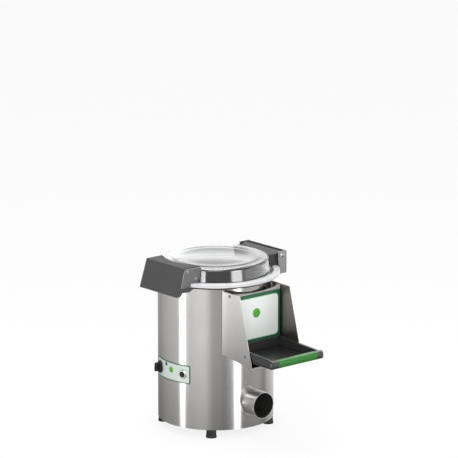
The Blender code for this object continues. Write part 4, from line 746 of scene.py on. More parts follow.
DRAIN_WALL = 2 * mm
DRAIN_LEG = 112 * mm
DRAIN_BEND = 46 * mm
DRAIN_REACH = 208 * mm
DRAIN_TOP = 190 * mm
DRAIN_EDGE = 0.5 * mm
BEND_STEPS = 24
pipe_steel = brushed_steel("pipe_steel", (30, 1400, 30), tone=0.68, rough=0.36)


def drain():
    """A circle drawn down its leg, round the bend and out through the drum, then given a wall."""
    bm = bmesh.new()
    top = Matrix.Translation((0, -DRAIN_LEG, DRAIN_TOP))
    circle = bmesh.ops.create_circle(bm, radius=DRAIN_RADIUS, segments=ROUND_STEPS, matrix=top)
    loop = list({edge for corner in circle["verts"] for edge in corner.link_edges})
    loop = new_edges(bm, loop, (0, 0, DRAIN_LEVEL + DRAIN_BEND - DRAIN_TOP))
    centre = (0, -DRAIN_LEG - DRAIN_BEND, DRAIN_LEVEL + DRAIN_BEND)
    corners = list({corner for edge in loop for corner in edge.verts})
    spun = bmesh.ops.spin(
        bm, geom=corners + loop, cent=centre, axis=(1, 0, 0), angle=-math.pi / 2, steps=BEND_STEPS,
    )["geom_last"]
    loop = [item for item in spun if isinstance(item, bmesh.types.BMEdge)]
    new_edges(bm, loop, (0, DRAIN_LEG + DRAIN_BEND - DRAIN_REACH, 0))
    closed_up(bm)
    bmesh.ops.solidify(bm, geom=bm.faces[:], thickness=DRAIN_WALL)
    return soften(bm, DRAIN_EDGE, 3)


finished("waste_pipe", drain(), pipe_steel, "housing", "brushed_steel", "drain_pipe")


# Peeling disc: a cast aluminium plate on the spindle, coated with coarse grit and raised
# in three ridges that tumble the potatoes. A domed steel nut holds it down.
DISC_RADIUS = 150 * mm
COAT_BOTTOM = 233.3 * mm
COAT_TOP = 237.3 * mm
SHAFT_HOLE = 10.3 * mm
RIDGE_PLACE = 96 * mm
RIDGE_LENGTH = 48 * mm
RIDGE_WIDTH = 17 * mm
RIDGE_HEIGHT = 7 * mm
COAT_PITCH = 2.4 * mm
RIDGE_COUNT = 3
RIDGE_FULLNESS = 0.7
COAT_ROUND = 1 * mm
COAT_STEPS = 200
disc_grit = speckled(
    "disc_grit", (0.025, 0.024, 0.024), (0.13, 0.13, 0.135), 0.85, scale=330, bump=0.8, depth=1.5 * mm,
)
cast_metal = mottled("cast_metal", 0.4, (0.58, 0.58, 0.57), (0.4, 0.55), scale=90, bump=0.3, metallic=1.0)
screw_steel = mottled("screw_steel", 0.22, 0.3, (0.3, 0.4), scale=60, bump=0.05, metallic=1.0)
polished = mottled("polished_steel", 0.62, 0.72, (0.1, 0.18), scale=40, bump=0.03, metallic=1.0)


def ridge_rise(place):
    """How far the coat stands up at a place on the disc, on the nearest of its ridges."""
    share = math.tau / RIDGE_COUNT
    angle = math.atan2(place.y, place.x)
    off = angle - share * round(angle / share)
    along_ridge = (place.xy.length * math.cos(off) - RIDGE_PLACE) / RIDGE_LENGTH
    across = place.xy.length * math.sin(off) / RIDGE_WIDTH
    left = 1 - along_ridge ** 2 - across ** 2
    return RIDGE_HEIGHT * left ** RIDGE_FULLNESS if left > 0 else 0


def disc_coat():
    bm = lathe(band(SHAFT_HOLE, DISC_RADIUS, COAT_BOTTOM, COAT_TOP), COAT_ROUND, COAT_STEPS)
    level = (COAT_BOTTOM + COAT_TOP) / 2
    top = {edge for edge in bm.edges if edge.verts[0].co.z > level and edge.verts[1].co.z > level}
    spokes = [edge for edge in top if edge.calc_length() > DISC_RADIUS / 2]
    rings = int(DISC_RADIUS / COAT_PITCH)
    bmesh.ops.subdivide_edges(bm, edges=spokes, cuts=rings, use_grid_fill=True)
    for corner in bm.verts:
        if corner.co.z > level:
            corner.co.z += ridge_rise(corner.co)
    finished("disc_coat", bm, disc_grit, "spindle", "abrasive_grit", "disc_abrasive")


disc_coat()
DISC_EDGE = 0.8 * mm
softened("peeling_disc", DISC_EDGE, cast_metal, "spindle", "cast_aluminium")
NUT_RADIUS = 17 * mm
NUT_BOTTOM = 237.6 * mm
NUT_HEIGHT = 14 * mm
NUT_ROUND = 2.4 * mm


def domed_nut():
    outline = [
        (0, NUT_BOTTOM),
        (NUT_RADIUS, NUT_BOTTOM),
        (NUT_RADIUS, NUT_BOTTOM + NUT_HEIGHT / 2),
        (NUT_RADIUS / 2, NUT_BOTTOM + NUT_HEIGHT),
        (0, NUT_BOTTOM + NUT_HEIGHT),
    ]
    bm = lathe(outline, NUT_ROUND, PLUG_STEPS)
    finished("domed_nut", bm, polished, "spindle", "chrome", "disc_nut")


domed_nut()


# Drive under the chamber floor: the spindle in its sealed bearings, and a flat belt to the
# pulley of a finned induction motor that hangs from a folded bracket.
belt_rubber = mottled("belt_rubber", 0.012, (0.022, 0.022, 0.021), (0.6, 0.75), scale=500, bump=0.2)
motor_paint = mottled(
    "motor_paint", (0.03, 0.035, 0.045), (0.05, 0.055, 0.066), (0.4, 0.55), scale=260, bump=0.25,
)
dull_plastic = mottled(
    "dull_plastic", (0.012, 0.012, 0.013), (0.02, 0.02, 0.021), (0.45, 0.6), scale=700, bump=0.15,
)
refinish(polished, "spindle_shaft", "motor_shaft", "lower_bearing", "upper_bearing")
refinish(belt_rubber, "shaft_seal")
for node, edge, finish, body, slot in (
    ("bearing_housing", 0.8 * mm, cast_metal, "housing", "cast_aluminium"),
    ("spindle_pulley", 0.4 * mm, cast_metal, "spindle", "cast_aluminium"),
    ("motor_pulley", 0.3 * mm, cast_metal, "motor_rotor", "cast_aluminium"),
    ("drive_belt", 0.5 * mm, belt_rubber, "housing", "black_rubber"),
    ("motor_body", 0.6 * mm, motor_paint, "housing", "motor_paint"),
    ("motor_bracket", 0.4 * mm, zinc, "housing", "zinc_steel"),
    ("motor_capacitor", 1 * mm, cast_metal, "housing", "cast_aluminium"),
    ("control_box", 0.8 * mm, dull_plastic, "housing", "grey_plastic"),
):
    softened(node, edge, finish, body, slot)


# Discharge outlet: a welded steel collar through the drum's wall with a rubber seal on its
# flange. Two folded side plates form the hood, with a chute between them to catch drips.
HOOD_EDGE = 0.35 * mm
RECESS_WIDTH = 1.1 * mm
RECESS_DEPTH = 1.3 * mm
INNER_SHADE_REACH = 8 * mm
# Painted shade on the hood plates: their colour darkens towards the bottom, between these heights.
PLATE_SHADE_LOW = 205 * mm
PLATE_SHADE_HIGH = 395 * mm
# Painted shade on the plates' inner faces, which look at each other across the chute.
INNER_SHADE_TONE = (0.33, 0.285, 0.27)
PLATE_SHADE_TONE = 0.45
HOOD_SCREW_SLOT = 2.6 * mm
SCREW_EDGE = 0.5 * mm


def dimmed(material, share, least):
    """Take the colour of a finish down where a share falls to nothing."""
    tree = material.node_tree
    colour = shader_of(material).inputs["Base Color"]
    shade = ramp(tree, [(0, least), (1, 1.0)], share)
    times = add_node(tree, "Mix", {"data_type": "RGBA", "blend_type": "MULTIPLY"})
    feed(colour, fed(times, 1.0, colour.links[0].from_socket, shade))
    return material


def plate_steel():
    """Brushed steel with painted shade: darker on the faces that look at each other, and darker towards
    the bottom.
    """
    material = brushed_steel("plate_steel", (60, 60, 1800), tone=1.42, rough=0.42, bump=0.04)
    tree = material.node_tree
    place = coordinates(tree)
    across = maths(tree, "MULTIPLY", coordinates(tree, "Normal")["X"], place["X"])
    # Painted shade: the faces that look at each other are darkened.
    dimmed(material, span(tree, across, -INNER_SHADE_REACH, INNER_SHADE_REACH), INNER_SHADE_TONE)
    # Painted shade, darker towards the bottom of the plates.
    return dimmed(material, span(tree, place["Z"], PLATE_SHADE_LOW, PLATE_SHADE_HIGH), PLATE_SHADE_TONE)


hood_steel = brushed_steel("hood_steel", (60, 60, 1800), tone=0.85, rough=0.36, bump=0.04)
# The chute's steel is darker than the hood's: painted shade for the shadow between the plates.
chute_steel_painted_shade = brushed_steel("chute_steel_painted_shade", (1800, 60, 60), tone=0.45, rough=0.36, bump=0.04)
hood_plate_steel = plate_steel()
seal_rubber = mottled("seal_rubber", 0.008, 0.014, (0.5, 0.65), scale=400, bump=0.15)
for node, edge, finish, slot, segments in (
    ("outlet_frame", 0.5 * mm, hood_steel, "brushed_steel", 2),
    ("door_seal", 0.6 * mm, seal_rubber, "black_rubber", 3),
    ("chute", HOOD_EDGE, chute_steel_painted_shade, "brushed_steel", 2),
    ("hood_plate_left", HOOD_EDGE, hood_plate_steel, "brushed_steel", 2),
    ("hood_plate_right", HOOD_EDGE, hood_plate_steel, "brushed_steel", 2),
):
    softened(node, edge, finish, "housing", slot, segments)


def cross_recess(frame, reach):
    """The two crossed slots that a screwdriver turns, in a head whose top is at local Z 0."""
    half = RECESS_WIDTH / 2
    slots = []
    for width, length in ((half, reach), (reach, half)):
        bm = block((-width, -length, -RECESS_DEPTH), (width, length, OVERRUN))
        bmesh.ops.transform(bm, matrix=frame, verts=bm.verts)
        slots.append(bm)
    return slots


def side_screws(kind, reach, body):
    """The left and the right screw of a kind, each with a cross in its outer end."""
    for side, turned_to in (("left", -1), ("right", 1)):
        node = f"{kind}_{side}"
        low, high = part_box(node)
        middle = (low + high) / 2
        top = low.x if turned_to < 0 else high.x
        head = along((turned_to, 0, 0), (top, middle.y, middle.z))
        bm = carved(soften(solid_copy(node), SCREW_EDGE), *cross_recess(head, reach))
        finished(f"fine_{node}", bm, screw_steel, body, "chrome", node)


side_screws("door_pivot", HOOD_SCREW_SLOT, "housing")
side_screws("door_catch", HOOD_SCREW_SLOT, "housing")


# Discharge door: a moulded grey panel that swings between the hood plates. A printed film
# covers its face, white inside a green border, with a plain green disc in the middle.
def rounded_sheet(low, high, corner, thickness):
    """A flat film lying in XY with rounded corners, thick along +Z."""
    bm = block((low[0], low[1], 0), (high[0], high[1], thickness))
    through = [edge for edge in bm.edges if edge.verts[0].co.xy == edge.verts[1].co.xy]
    round_off(bm, through, corner, CORNER_SEGMENTS)
    return bm


def printed(name, colour, shade, rough):
    """Printed film: an even ink with a faint satin grain."""
    return mottled(name, shade, colour, rough, scale=1500, bump=0.05, size=0.02 * mm)


LABEL_HALF_WIDTH = 87.5 * mm
LABEL_BOTTOM = 254 * mm
LABEL_TOP = 391 * mm
LABEL_BACK = 176.3 * mm
LABEL_BASE = 0.5 * mm
INK = 0.07 * mm
BORDER = 9 * mm
BORDER_TOP = 13 * mm
LINE_WIDTH = 1.6 * mm
BORDER_CORNER = 8 * mm
FIELD_CORNER = 10 * mm
BADGE_RADIUS = 13.5 * mm
BADGE_RISE = 12 * mm
PANEL_DARK = 388 * mm
PANEL_LIGHT = 391.5 * mm
PANEL_SHADE = 0.2
PANEL_EDGE = 0.8 * mm
border_green = printed("border_green", (0.012, 0.098, 0.04), (0.01, 0.085, 0.034), (0.3, 0.4))
line_green = printed("line_green", (0.42, 0.8, 0.55), (0.38, 0.74, 0.5), (0.3, 0.4))
field_white = printed("field_white", (0.84, 0.88, 0.86), (0.81, 0.85, 0.83), (0.25, 0.35))
badge_green = printed("badge_green", (0.1, 0.42, 0.03), (0.06, 0.3, 0.02), (0.2, 0.3))
on_door = Matrix.Translation((0, -LABEL_BACK, 0)) @ Matrix.Rotation(math.pi / 2, 4, "X")


def panel_finish():
    """Dark plastic, with a light edge left above the film."""
    material = mottled("door_plastic", 0.3, 0.42, (0.4, 0.55), scale=800, bump=0.2)
    tree = material.node_tree
    return dimmed(material, span(tree, coordinates(tree)["Z"], PANEL_DARK, PANEL_LIGHT), PANEL_SHADE)


def door_film():
    low = Vector((-LABEL_HALF_WIDTH, LABEL_BOTTOM))
    high = Vector((LABEL_HALF_WIDTH, LABEL_TOP))
    level = 0
    layers = (
        ("film_border", 0, BORDER_CORNER, LABEL_BASE, border_green),
        ("film_line", BORDER - LINE_WIDTH, FIELD_CORNER + LINE_WIDTH, INK, line_green),
        ("film_field", BORDER, FIELD_CORNER, INK, field_white),
    )
    for name, inset, corner, thickness, ink in layers:
        from_low = Vector((inset, inset))
        from_high = Vector((inset, inset * BORDER_TOP / BORDER))
        bm = rounded_sheet(low + from_low, high - from_high, corner, thickness)
        bmesh.ops.transform(bm, matrix=on_door @ Matrix.Translation((0, 0, level)), verts=bm.verts)
        stands_for = ("door_label",) if level == 0 else ()
        finished(name, bm, ink, "door", "label_film", *stands_for)
        level += thickness
    centre = Matrix.Translation((0, (LABEL_BOTTOM + LABEL_TOP) / 2 + BADGE_RISE, level))
    bm = plug(BADGE_RADIUS, 0, INK / 2, on_door @ centre)
    finished("film_badge", bm, badge_green, "door", "label_film")


softened("door_panel", PANEL_EDGE, panel_finish(), "door", "grey_plastic")
door_film()


# Door handle: a dark moulded tray that hangs from the door, ending in a bar to pull on. A
# green grip sleeve sits round the bar between two hubs, held by a screw in each end.
TRAY_FLOOR = 222 * mm
TRAY_SHADE_TOP = 232 * mm
TRAY_SHADE = 0.3
TRAY_EDGE = 1.2 * mm
SLEEVE_EDGE = 0.8 * mm
BAR_SCREW_SLOT = 3 * mm


def tray_finish():
    """Dark plastic, with painted shade darkening the floor of the tray."""
    material = mottled(
        "tray_plastic", (0.022, 0.022, 0.023), (0.034, 0.034, 0.035), (0.3, 0.45), scale=900, bump=0.15,
    )
    tree = material.node_tree
    return dimmed(material, span(tree, coordinates(tree)["Z"], TRAY_FLOOR, TRAY_SHADE_TOP), TRAY_SHADE)


grip_green = mottled(
    "grip_green", (0.006, 0.12, 0.003), (0.009, 0.14, 0.004), (0.36, 0.48), scale=700, bump=0.12,
)
softened("door_handle", TRAY_EDGE, tray_finish(), "door", "grey_plastic", 3)
softened("handle_grip", SLEEVE_EDGE, grip_green, "door", "green_plastic", 3)
side_screws("handle_screw", BAR_SCREW_SLOT, "door")


# Timer panel: a printed film bent round the drum, with the knob of a clockwork timer on
# the left and the start button in a steel bezel on the right.
FILM_RADIUS = 165.3 * mm
FILM_THICKNESS = 0.8 * mm
FILM_HALF_ARC = math.radians(26)
FILM_HEIGHT = 53 * mm
FILM_MARGIN = 2.6 * mm
FILM_CORNER = 2 * mm
PANEL_BADGE = 8.5 * mm
PANEL_BADGE_PLACE = (7 * mm, 5 * mm)
MARK_RADIUS = 5.6 * mm
MARK_PLACE = (-15.6 * mm, 17 * mm)
DIAL_PLACE = -51.9 * mm
DIAL_SWEEP = math.radians(300)
DIAL_STEPS = 10
TICK_INNER = 18.8 * mm
TICK_SHORT = 1.4 * mm
TICK_LONG = 2.4 * mm
TICK_WIDTH = 0.6 * mm
NUMBER_REACH = 22.4 * mm
NUMBER_SIZE = 2.7 * mm
DISC_MARK_STEPS = 48
CUTS_PER_RADIAN = 80
CUTS_EACH_WAY = 40
panel_white = printed("panel_white", (0.58, 0.64, 0.61), (0.54, 0.6, 0.57), (0.25, 0.35))
dial_ink = printed("dial_ink", (0.012, 0.014, 0.016), (0.02, 0.022, 0.024), (0.35, 0.45))
mark_blue = printed("mark_blue", (0.01, 0.05, 0.12), (0.015, 0.065, 0.15), (0.2, 0.3))


def bent(bm, radius):
    """Wrap a flat film round the drum: its X becomes an arc and its Z the depth."""
    for index in range(-CUTS_EACH_WAY, CUTS_EACH_WAY + 1):
        plane = (index * radius / CUTS_PER_RADIAN, 0, 0)
        bmesh.ops.bisect_plane(
            bm, geom=bm.verts[:] + bm.edges[:] + bm.faces[:], dist=MERGE_DISTANCE,
            plane_co=plane, plane_no=(1, 0, 0),
        )
    for corner in bm.verts:
        angle = PANEL_ANGLE + corner.co.x / radius
        reach = radius + corner.co.z
        corner.co = (reach * math.sin(angle), -reach * math.cos(angle), PANEL_LEVEL + corner.co.y)
    return bm


def control_film():
    half_width = FILM_HALF_ARC * FILM_RADIUS
    half_height = FILM_HEIGHT / 2
    holes = (
        wall_hole(TIMER_ANGLE, PANEL_LEVEL, TIMER_HOLE),
        wall_hole(BUTTON_ANGLE, PANEL_LEVEL, BUTTON_HOLE),
    )
    level = 0
    layers = (
        ("panel_border", 0, FILM_CORNER, FILM_THICKNESS - INK, border_green, ("control_panel",)),
        ("panel_field", FILM_MARGIN, FILM_CORNER, INK / 2, panel_white, ()),
    )
    for name, inset, corner, thickness, ink, stands_for in layers:
        low = Vector((inset - half_width, inset - half_height))
        bm = bent(rounded_sheet(low, -low, corner, thickness), FILM_RADIUS + level)
        bm = carved(bm, *[tool.copy() for tool in holes])
        finished(name, bm, ink, "housing", "label_film", *stands_for)
        level += thickness
    for name, radius, place, ink in (
        ("panel_badge", PANEL_BADGE, PANEL_BADGE_PLACE, badge_green),
        ("panel_mark", MARK_RADIUS, MARK_PLACE, mark_blue),
    ):
        disc = plug(radius, 0, INK / 2, Matrix.Translation((*place, 0)), DISC_MARK_STEPS)
        finished(name, bent(disc, FILM_RADIUS + level), ink, "housing", "label_film")
    for name, bm in (("dial_ticks", dial_ticks()), ("dial_numbers", dial_numbers())):
        finished(name, bent(bm, FILM_RADIUS + level), dial_ink, "housing", "label_film")


def dial_frame(step, reach):
    """Place on the dial for one step of the timer, which turns clockwise from the top."""
    angle = DIAL_SWEEP * step / DIAL_STEPS
    turned_there = Matrix.Rotation(-angle, 4, "Z") @ Matrix.Translation((0, reach, 0))
    return Matrix.Translation((DIAL_PLACE, 0, 0)) @ turned_there


def dial_ticks():
    bm = bmesh.new()
    for step in range(DIAL_STEPS + 1):
        length = TICK_SHORT if step % 2 else TICK_LONG
        size = Matrix.Diagonal((TICK_WIDTH, length, INK / 2, 1))
        lift = Matrix.Translation((0, length / 2, INK / 4))
        bmesh.ops.create_cube(bm, size=1, matrix=dial_frame(step, TICK_INNER) @ lift @ size)
    return bm


def dial_numbers():
    """The minutes, small and upright, at the odd steps of the dial."""
    bm = bmesh.new()
    for step in range(1, DIAL_STEPS, 2):
        curve = bpy.data.curves.new("minutes", "FONT")
        curve.body = str(step)
        curve.size = NUMBER_SIZE
        curve.align_x = curve.align_y = "CENTER"
        curve.extrude = INK / 4
        loose = placed("minutes", curve)
        bpy.context.view_layer.update()
        mesh = bpy.data.meshes.new_from_object(evaluated(loose))
        middle = dial_frame(step, NUMBER_REACH).translation
        mesh.transform(Matrix.Translation(middle + Vector((0, 0, INK / 4))))
        bm.from_mesh(mesh)
        bpy.data.meshes.remove(mesh)
        bpy.data.curves.remove(curve)
    return bm


control_film()


# Lid: a rubber strip covers the drum's raw rim. On it lies a white moulded ring with a
# clear polycarbonate dome screwed into its rebate, thermoformed with a flat stepped top.
SEAL_INNER = 162 * mm
SEAL_OUTER = 166.5 * mm
SEAL_LEG_LEVEL = 409 * mm
SEAL_TOP = 415.8 * mm
SEAL_ROUND = 0.25 * mm
RING_BOTTOM = 416.1 * mm
RING_TOP = 427.1 * mm
RING_ROUND = 2.5 * mm
RING_SEGMENTS = 5
RING_EDGE = 0.3 * mm
RING_INNER = 150 * mm
RING_OUTER = 181.8 * mm
REBATE_RADIUS = 164.3 * mm
REBATE_LEVEL = 423.6 * mm
LIGHT_DEPTH = 4 * mm
LIGHT_SHARE = 0.2
LID_STEPS = 240


def rim_strip():
    inner = DRUM_RADIUS - DRUM_WALL - GAP
    outer = DRUM_RADIUS + GAP
    outline = [
        (SEAL_INNER, SEAL_LEG_LEVEL),
        (inner, SEAL_LEG_LEVEL),
        (inner, DRUM_HEIGHT + GAP),
        (outer, DRUM_HEIGHT + GAP),
        (outer, SEAL_LEG_LEVEL),
        (SEAL_OUTER, SEAL_LEG_LEVEL),
        (SEAL_OUTER, SEAL_TOP),
        (SEAL_INNER, SEAL_TOP),
    ]
    bm = lathe(outline, SEAL_ROUND, LID_STEPS)
    finished("rim_strip", bm, seal_rubber, "housing", "black_rubber", "rim_seal")


def white_moulding():
    """White plastic that lets a little light into its skin."""
    material = mottled(
        "white_moulding", (0.62, 0.62, 0.63), (0.65, 0.65, 0.66), (0.3, 0.4), scale=260, bump=0.03,
    )
    set_values(shader_of(material), {"Subsurface Weight": LIGHT_SHARE, "Subsurface Scale": LIGHT_DEPTH})
    return material


def ring():
    outline = [
        (RING_INNER, RING_BOTTOM),
        (RING_OUTER, RING_BOTTOM),
        (RING_OUTER, RING_TOP),
        (REBATE_RADIUS, RING_TOP),
        (REBATE_RADIUS, REBATE_LEVEL),
        (RING_INNER, REBATE_LEVEL),
    ]
    bm = lathe(outline, 0, LID_STEPS)
    round_off(bm, [edge for edge in bm.edges if is_rim(edge)], RING_ROUND, RING_SEGMENTS)
    soften(bm, RING_EDGE)
    finished("white_ring", bm, white_moulding(), "lid", "white_plastic", "lid_ring")


def is_rim(edge):
    """Whether an edge runs round the outside of the ring."""
    first, second = (corner.co for corner in edge.verts)
    away = (first.xy.length - RING_OUTER, second.xy.length - RING_OUTER, first.z - second.z)
    return max(abs(distance) for distance in away) < MERGE_DISTANCE


rim_strip()
ring()

DOME_WALL = 3 * mm
DOME_FLANGE = 164 * mm
DOME_FOOT = 157 * mm
DOME_SHOULDER = 151 * mm
DOME_LOW = 423.9 * mm
DOME_TOP = 465.4 * mm
DOME_STEP_RADIUS = 119 * mm
DOME_STEP = 1.6 * mm
DOME_CROWN = 3.5 * mm
DOME_ROUND = 8 * mm
CLEAR_TINT = (0.84, 0.85, 0.85, 1)
CLEAR_BENDING = 1.58
CLEAR_ROUGHNESS = (0.01, 0.04)
CLEAR_ENDS = (0.35, 0.7)


def clear_plastic():
    """Clear sheet with a slow waviness from its forming."""
    material, tree, shader = fresh_material("clear_polycarbonate")
    normal, noise = worn_bump(tree, scale=9, strength=0.02, distance=0.15 * mm, detail=0)
    set_values(shader, {
        "Base Color": CLEAR_TINT,
        "Transmission Weight": 1.0,
        "IOR": CLEAR_BENDING,
        "Normal": normal,
        "Roughness": drift(tree, noise, *CLEAR_ROUGHNESS, CLEAR_ENDS),
    })
    return material


def dome():
    """One line from the flange to the crown, turned round and then given its wall."""
    crown = DOME_TOP - DOME_STEP + DOME_CROWN
    shares = (0.75, 0.5, 0.25, 0)
    outline = [
        (DOME_FLANGE, DOME_LOW),
        (DOME_FOOT, DOME_LOW),
        (DOME_SHOULDER, DOME_TOP),
        (DOME_STEP_RADIUS + DOME_STEP, DOME_TOP),
        (DOME_STEP_RADIUS - DOME_STEP, DOME_TOP - DOME_STEP),
        *[(DOME_STEP_RADIUS * share, crown - DOME_CROWN * share ** 2) for share in shares],
    ]
    bm = bmesh.new()
    corners = [bm.verts.new((radius, 0, level)) for radius, level in outline]
    for first, second in zip(corners, corners[1:]):
        bm.edges.new((first, second))
    for corner, width in ((corners[1], DOME_STEP), (corners[2], DOME_ROUND)):
        round_off(bm, [corner], width, CORNER_SEGMENTS, "VERTICES")
    turned(bm, LID_STEPS)
    if max(bm.faces, key=lambda face: face.calc_center_median().z).normal.z < 0:
        bmesh.ops.reverse_faces(bm, faces=bm.faces)
    bmesh.ops.solidify(bm, geom=bm.faces[:], thickness=DOME_WALL)
    return bm


finished("clear_dome", dome(), clear_plastic(), "lid", "clear_plastic", "lid_dome")


# Lid hinge: a folded steel bracket fixed to the drum, a moulded arm screwed to the lid's
# ring, and a headed steel pin that runs through both, with a washer under each head.
PIN_X = 177 * mm
PIN_LEVEL = 455.5 * mm
PIN_RADIUS = 4.3 * mm
WASHER_RADIUS = 10.4 * mm
WASHER_INNER_FACE = 84 * mm
WASHER_OUTER_FACE = 85.3 * mm
WASHER_ROUND = 0.3 * mm
BRACKET_EDGE = 0.5 * mm
ARM_EDGE = 1.2 * mm
PIN_EDGE = 0.9 * mm
bracket_steel = mottled(
    "bracket_steel", 0.21, 0.26, (0.3, 0.42), scale=300, bump=0.12, stretch=(1, 1, 12), metallic=0.75,
)
arm_plastic = mottled(
    "arm_plastic", (0.045, 0.045, 0.046), (0.06, 0.06, 0.061), (0.3, 0.4), scale=800, bump=0.15,
)
softened("hinge_bracket", BRACKET_EDGE, bracket_steel, "housing", "grey_paint")
softened("lid_hinge_arm", ARM_EDGE, arm_plastic, "lid", "grey_paint", 3)
softened("hinge_pin", PIN_EDGE, screw_steel, "housing", "chrome", 3)
for side, turned_to in (("front", -1), ("back", 1)):
    outline = band(PIN_RADIUS, WASHER_RADIUS, WASHER_INNER_FACE, WASHER_OUTER_FACE)
    pin_way = along((0, turned_to, 0), (PIN_X, 0, PIN_LEVEL))
    washer = lathe(outline, WASHER_ROUND, PLUG_STEPS, pin_way)
    finished(f"pin_washer_{side}", washer, zinc, "housing", "chrome")


# Lid handle: a moulded grey cover round the lid's left edge that hides the safety magnet,
# with a pressed plate held by two screws on each side. The sensor is below it on the drum.
CHEEK_FACE = 84.3 * mm
CHEEK_SCREWS = ((172.5 * mm, 462 * mm), (143 * mm, 438.5 * mm))
SCREW_RADIUS = 4.3 * mm
SCREW_TOP = 86.1 * mm
HALF_ROOM = 300 * mm
CHEEK_TOP = 470 * mm
CHEEK_MIDDLE = 160 * mm
CHEEK_ROUND = 7 * mm
CHEEK_EDGE = 0.4 * mm
SCREW_ROUND = 0.4 * mm
SCREW_STEPS = 32
COVER_EDGE = 1.6 * mm
CATCH_EDGE = 0.6 * mm
MATT_SHINE = 0.06
# Light grey of the painted highlight on the cheeks' edges.
EDGE_HIGHLIGHT_TONE = (0.62, 0.62, 0.62, 1)
HIGHLIGHT_TO_PAINT = (0.7, 0.95)
cover_plastic = mottled(
    "cover_plastic", (0.062, 0.062, 0.063), (0.084, 0.084, 0.085), (0.5, 0.62), scale=650, bump=0.2,
)
cheek_paint = mottled(
    "cheek_paint", (0.12, 0.12, 0.122), (0.15, 0.15, 0.152), (0.28, 0.38), scale=350, bump=0.15,
    metallic=0.4,
)
for material in (cover_plastic, arm_plastic):
    set_values(shader_of(material), {"Specular IOR Level": MATT_SHINE})
softened("handle_cover", COVER_EDGE, cover_plastic, "lid", "grey_plastic", 3)


def bare_edges(material):
    """Painted highlight: light grey on the plate's edges, where they turn away from its face."""
    tree = material.node_tree
    paint = shader_of(material).inputs["Base Color"]
    on_face = maths(tree, "ABSOLUTE", coordinates(tree, "Normal")["Y"])
    share = span(tree, on_face, *HIGHLIGHT_TO_PAINT)
    feed(paint, blend(tree, share, EDGE_HIGHLIGHT_TONE, paint.links[0].from_socket))


def cheek(side, turned_to):
    """The pressed plate without the heads of its screws, which are pieces of their own."""
    low = (-HALF_ROOM, min(0, turned_to * CHEEK_FACE), 0)
    high = (HALF_ROOM, max(0, turned_to * CHEEK_FACE), 2 * HALF_ROOM)
    bm = carved(solid_copy(f"handle_cheek_{side}"), block(low, high), operation="INTERSECT")
    bmesh.ops.dissolve_limit(bm, angle_limit=FLAT_ANGLE, verts=bm.verts, edges=bm.edges)
    outer = [edge for edge in bm.edges if all(is_outer_corner(corner.co) for corner in edge.verts)]
    round_off(bm, outer, CHEEK_ROUND, CORNER_SEGMENTS)
    soften(bm, CHEEK_EDGE)
    finished(f"cheek_{side}", bm, cheek_paint, "lid", "grey_paint", f"handle_cheek_{side}")


def is_outer_corner(place):
    """Whether a corner of the plate is the one that is up and away from the lid."""
    return place.x < -CHEEK_MIDDLE and place.z > CHEEK_TOP - GAP


def cheek_screw(name, reach, level, turned_to):
    frame_there = along((0, turned_to, 0), (-reach, 0, level))
    outline = [
        (0, CHEEK_FACE - GAP),
        (SCREW_RADIUS, CHEEK_FACE - GAP),
        (SCREW_RADIUS, CHEEK_FACE + GAP),
        (SCREW_RADIUS / 2, SCREW_TOP),
        (0, SCREW_TOP),
    ]
    top = frame_there @ Matrix.Translation((0, 0, SCREW_TOP))
    head = lathe(outline, SCREW_ROUND, SCREW_STEPS, frame_there)
    bm = carved(head, *cross_recess(top, SCREW_RADIUS / 2))
    finished(name, bm, zinc, "lid", "chrome")


# The cheeks' edges get a painted highlight in light grey.
bare_edges(cheek_paint)
for side, turned_to in (("front", -1), ("back", 1)):
    cheek(side, turned_to)
    for index, (reach, level) in enumerate(CHEEK_SCREWS):
        cheek_screw(f"cheek_screw_{side}_{index}", reach, level, turned_to)
softened("safety_magnet", CATCH_EDGE, dull_plastic, "lid", "black_plastic")
softened("lid_sensor", CATCH_EDGE, dull_plastic, "housing", "black_plastic")


# Timer and start button: black moulded caps over the works that hang behind the wall, the
# button in a turned steel bezel. The hose tail for water and the lead's gland are behind.
KNOB_SEAT = 166.9 * mm
KNOB_RADIUS = 18 * mm
KNOB_SKIRT = 4 * mm
KNOB_DISH = 14.5 * mm
KNOB_DEPTH = 18 * mm
GRIP_WIDTH = 9 * mm
GRIP_TAPER = (0.72, 0.9, 1)
GRIP_ROUND = 1.6 * mm
GRIP_SEGMENTS = 4
SKIRT_ROUND = 0.6 * mm
TIMER_BORE = 3.3 * mm
TIMER_BORE_DEPTH = 9.5 * mm
POINTER_WIDTH = 1.8 * mm
POINTER_RISE = 0.15 * mm
POINTER_START = 2 * mm
POINTER_REACH = 0.82
KNOB_SHINE = 0.25
knob_plastic = mottled(
    "knob_plastic", (0.005, 0.005, 0.006), (0.009, 0.009, 0.01), (0.3, 0.42), scale=900, bump=0.1,
)
set_values(shader_of(knob_plastic), {"Specular IOR Level": KNOB_SHINE})
pointer_white = printed("pointer_white", 0.7, 0.65, (0.3, 0.4))
on_timer = on_drum(TIMER_ANGLE, KNOB_SEAT, PANEL_LEVEL)


def knob_skirt():
    outline = [
        (TIMER_BORE, 0),
        (KNOB_RADIUS, 0),
        (KNOB_RADIUS - GAP, KNOB_SKIRT),
        (KNOB_DISH, KNOB_SKIRT),
        (KNOB_DISH - KNOB_SKIRT / 2, KNOB_SKIRT * 3 / 2),
        (TIMER_BORE, KNOB_SKIRT * 3 / 2),
    ]
    return lathe(outline, SKIRT_ROUND, ROUND_STEPS, on_timer)


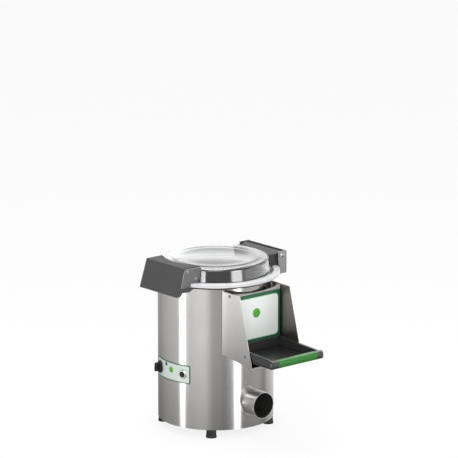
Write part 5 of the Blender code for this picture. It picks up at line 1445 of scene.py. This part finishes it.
def knob_grip():
    """The bar that the fingers turn: narrower towards its top, and pointed at one end."""
    half = GRIP_WIDTH / 2
    tail = -math.sqrt(KNOB_DISH ** 2 - half ** 2)
    shoulder = KNOB_DISH - half
    outline = ((-half, tail), (half, tail), (half, shoulder), (0, KNOB_DISH), (-half, shoulder))
    bm = bmesh.new()
    foot = bm.faces.new([bm.verts.new((x, y, KNOB_SKIRT)) for x, y in outline])
    raised = bmesh.ops.extrude_face_region(bm, geom=[foot])["geom"]
    top = [item for item in raised if isinstance(item, bmesh.types.BMVert)]
    bmesh.ops.translate(bm, verts=top, vec=(0, 0, KNOB_DEPTH - KNOB_SKIRT))
    bmesh.ops.scale(bm, verts=top, vec=GRIP_TAPER)
    bmesh.ops.recalc_face_normals(bm, faces=bm.faces)
    outer = [edge for edge in bm.edges if max(corner.co.z for corner in edge.verts) > KNOB_SKIRT + GAP]
    round_off(bm, outer, GRIP_ROUND, GRIP_SEGMENTS)
    bm = carved(bm, plug(TIMER_BORE, 0, TIMER_BORE_DEPTH))
    bmesh.ops.transform(bm, matrix=on_timer, verts=bm.verts)
    return bm


def pointer():
    """White line let into the top of the bar, towards its point."""
    half = POINTER_WIDTH / 2
    low = (-half, POINTER_START, KNOB_DEPTH - POINTER_WIDTH)
    bm = block(low, (half, KNOB_DISH * POINTER_REACH, KNOB_DEPTH + POINTER_RISE))
    bmesh.ops.transform(bm, matrix=on_timer, verts=bm.verts)
    return bm


finished("knob_skirt", knob_skirt(), knob_plastic, "knob", "black_plastic", "timer_knob")
finished("knob_grip", knob_grip(), knob_plastic, "knob", "black_plastic")
finished("knob_pointer", pointer(), pointer_white, "knob", "black_plastic")
for node, edge, finish, body, slot, segments in (
    ("start_button", 0.6 * mm, knob_plastic, "button", "black_plastic", 3),
    ("button_bezel", 0.5 * mm, polished, "housing", "chrome", 3),
    ("timer_body", 0.8 * mm, dull_plastic, "housing", "black_plastic", 2),
    ("switch_body", 0.8 * mm, dull_plastic, "housing", "black_plastic", 2),
    ("water_inlet", 0.5 * mm, polished, "housing", "chrome", 2),
    ("cable_gland", 0.5 * mm, dull_plastic, "housing", "black_plastic", 2),
):
    softened(node, edge, finish, body, slot, segments)
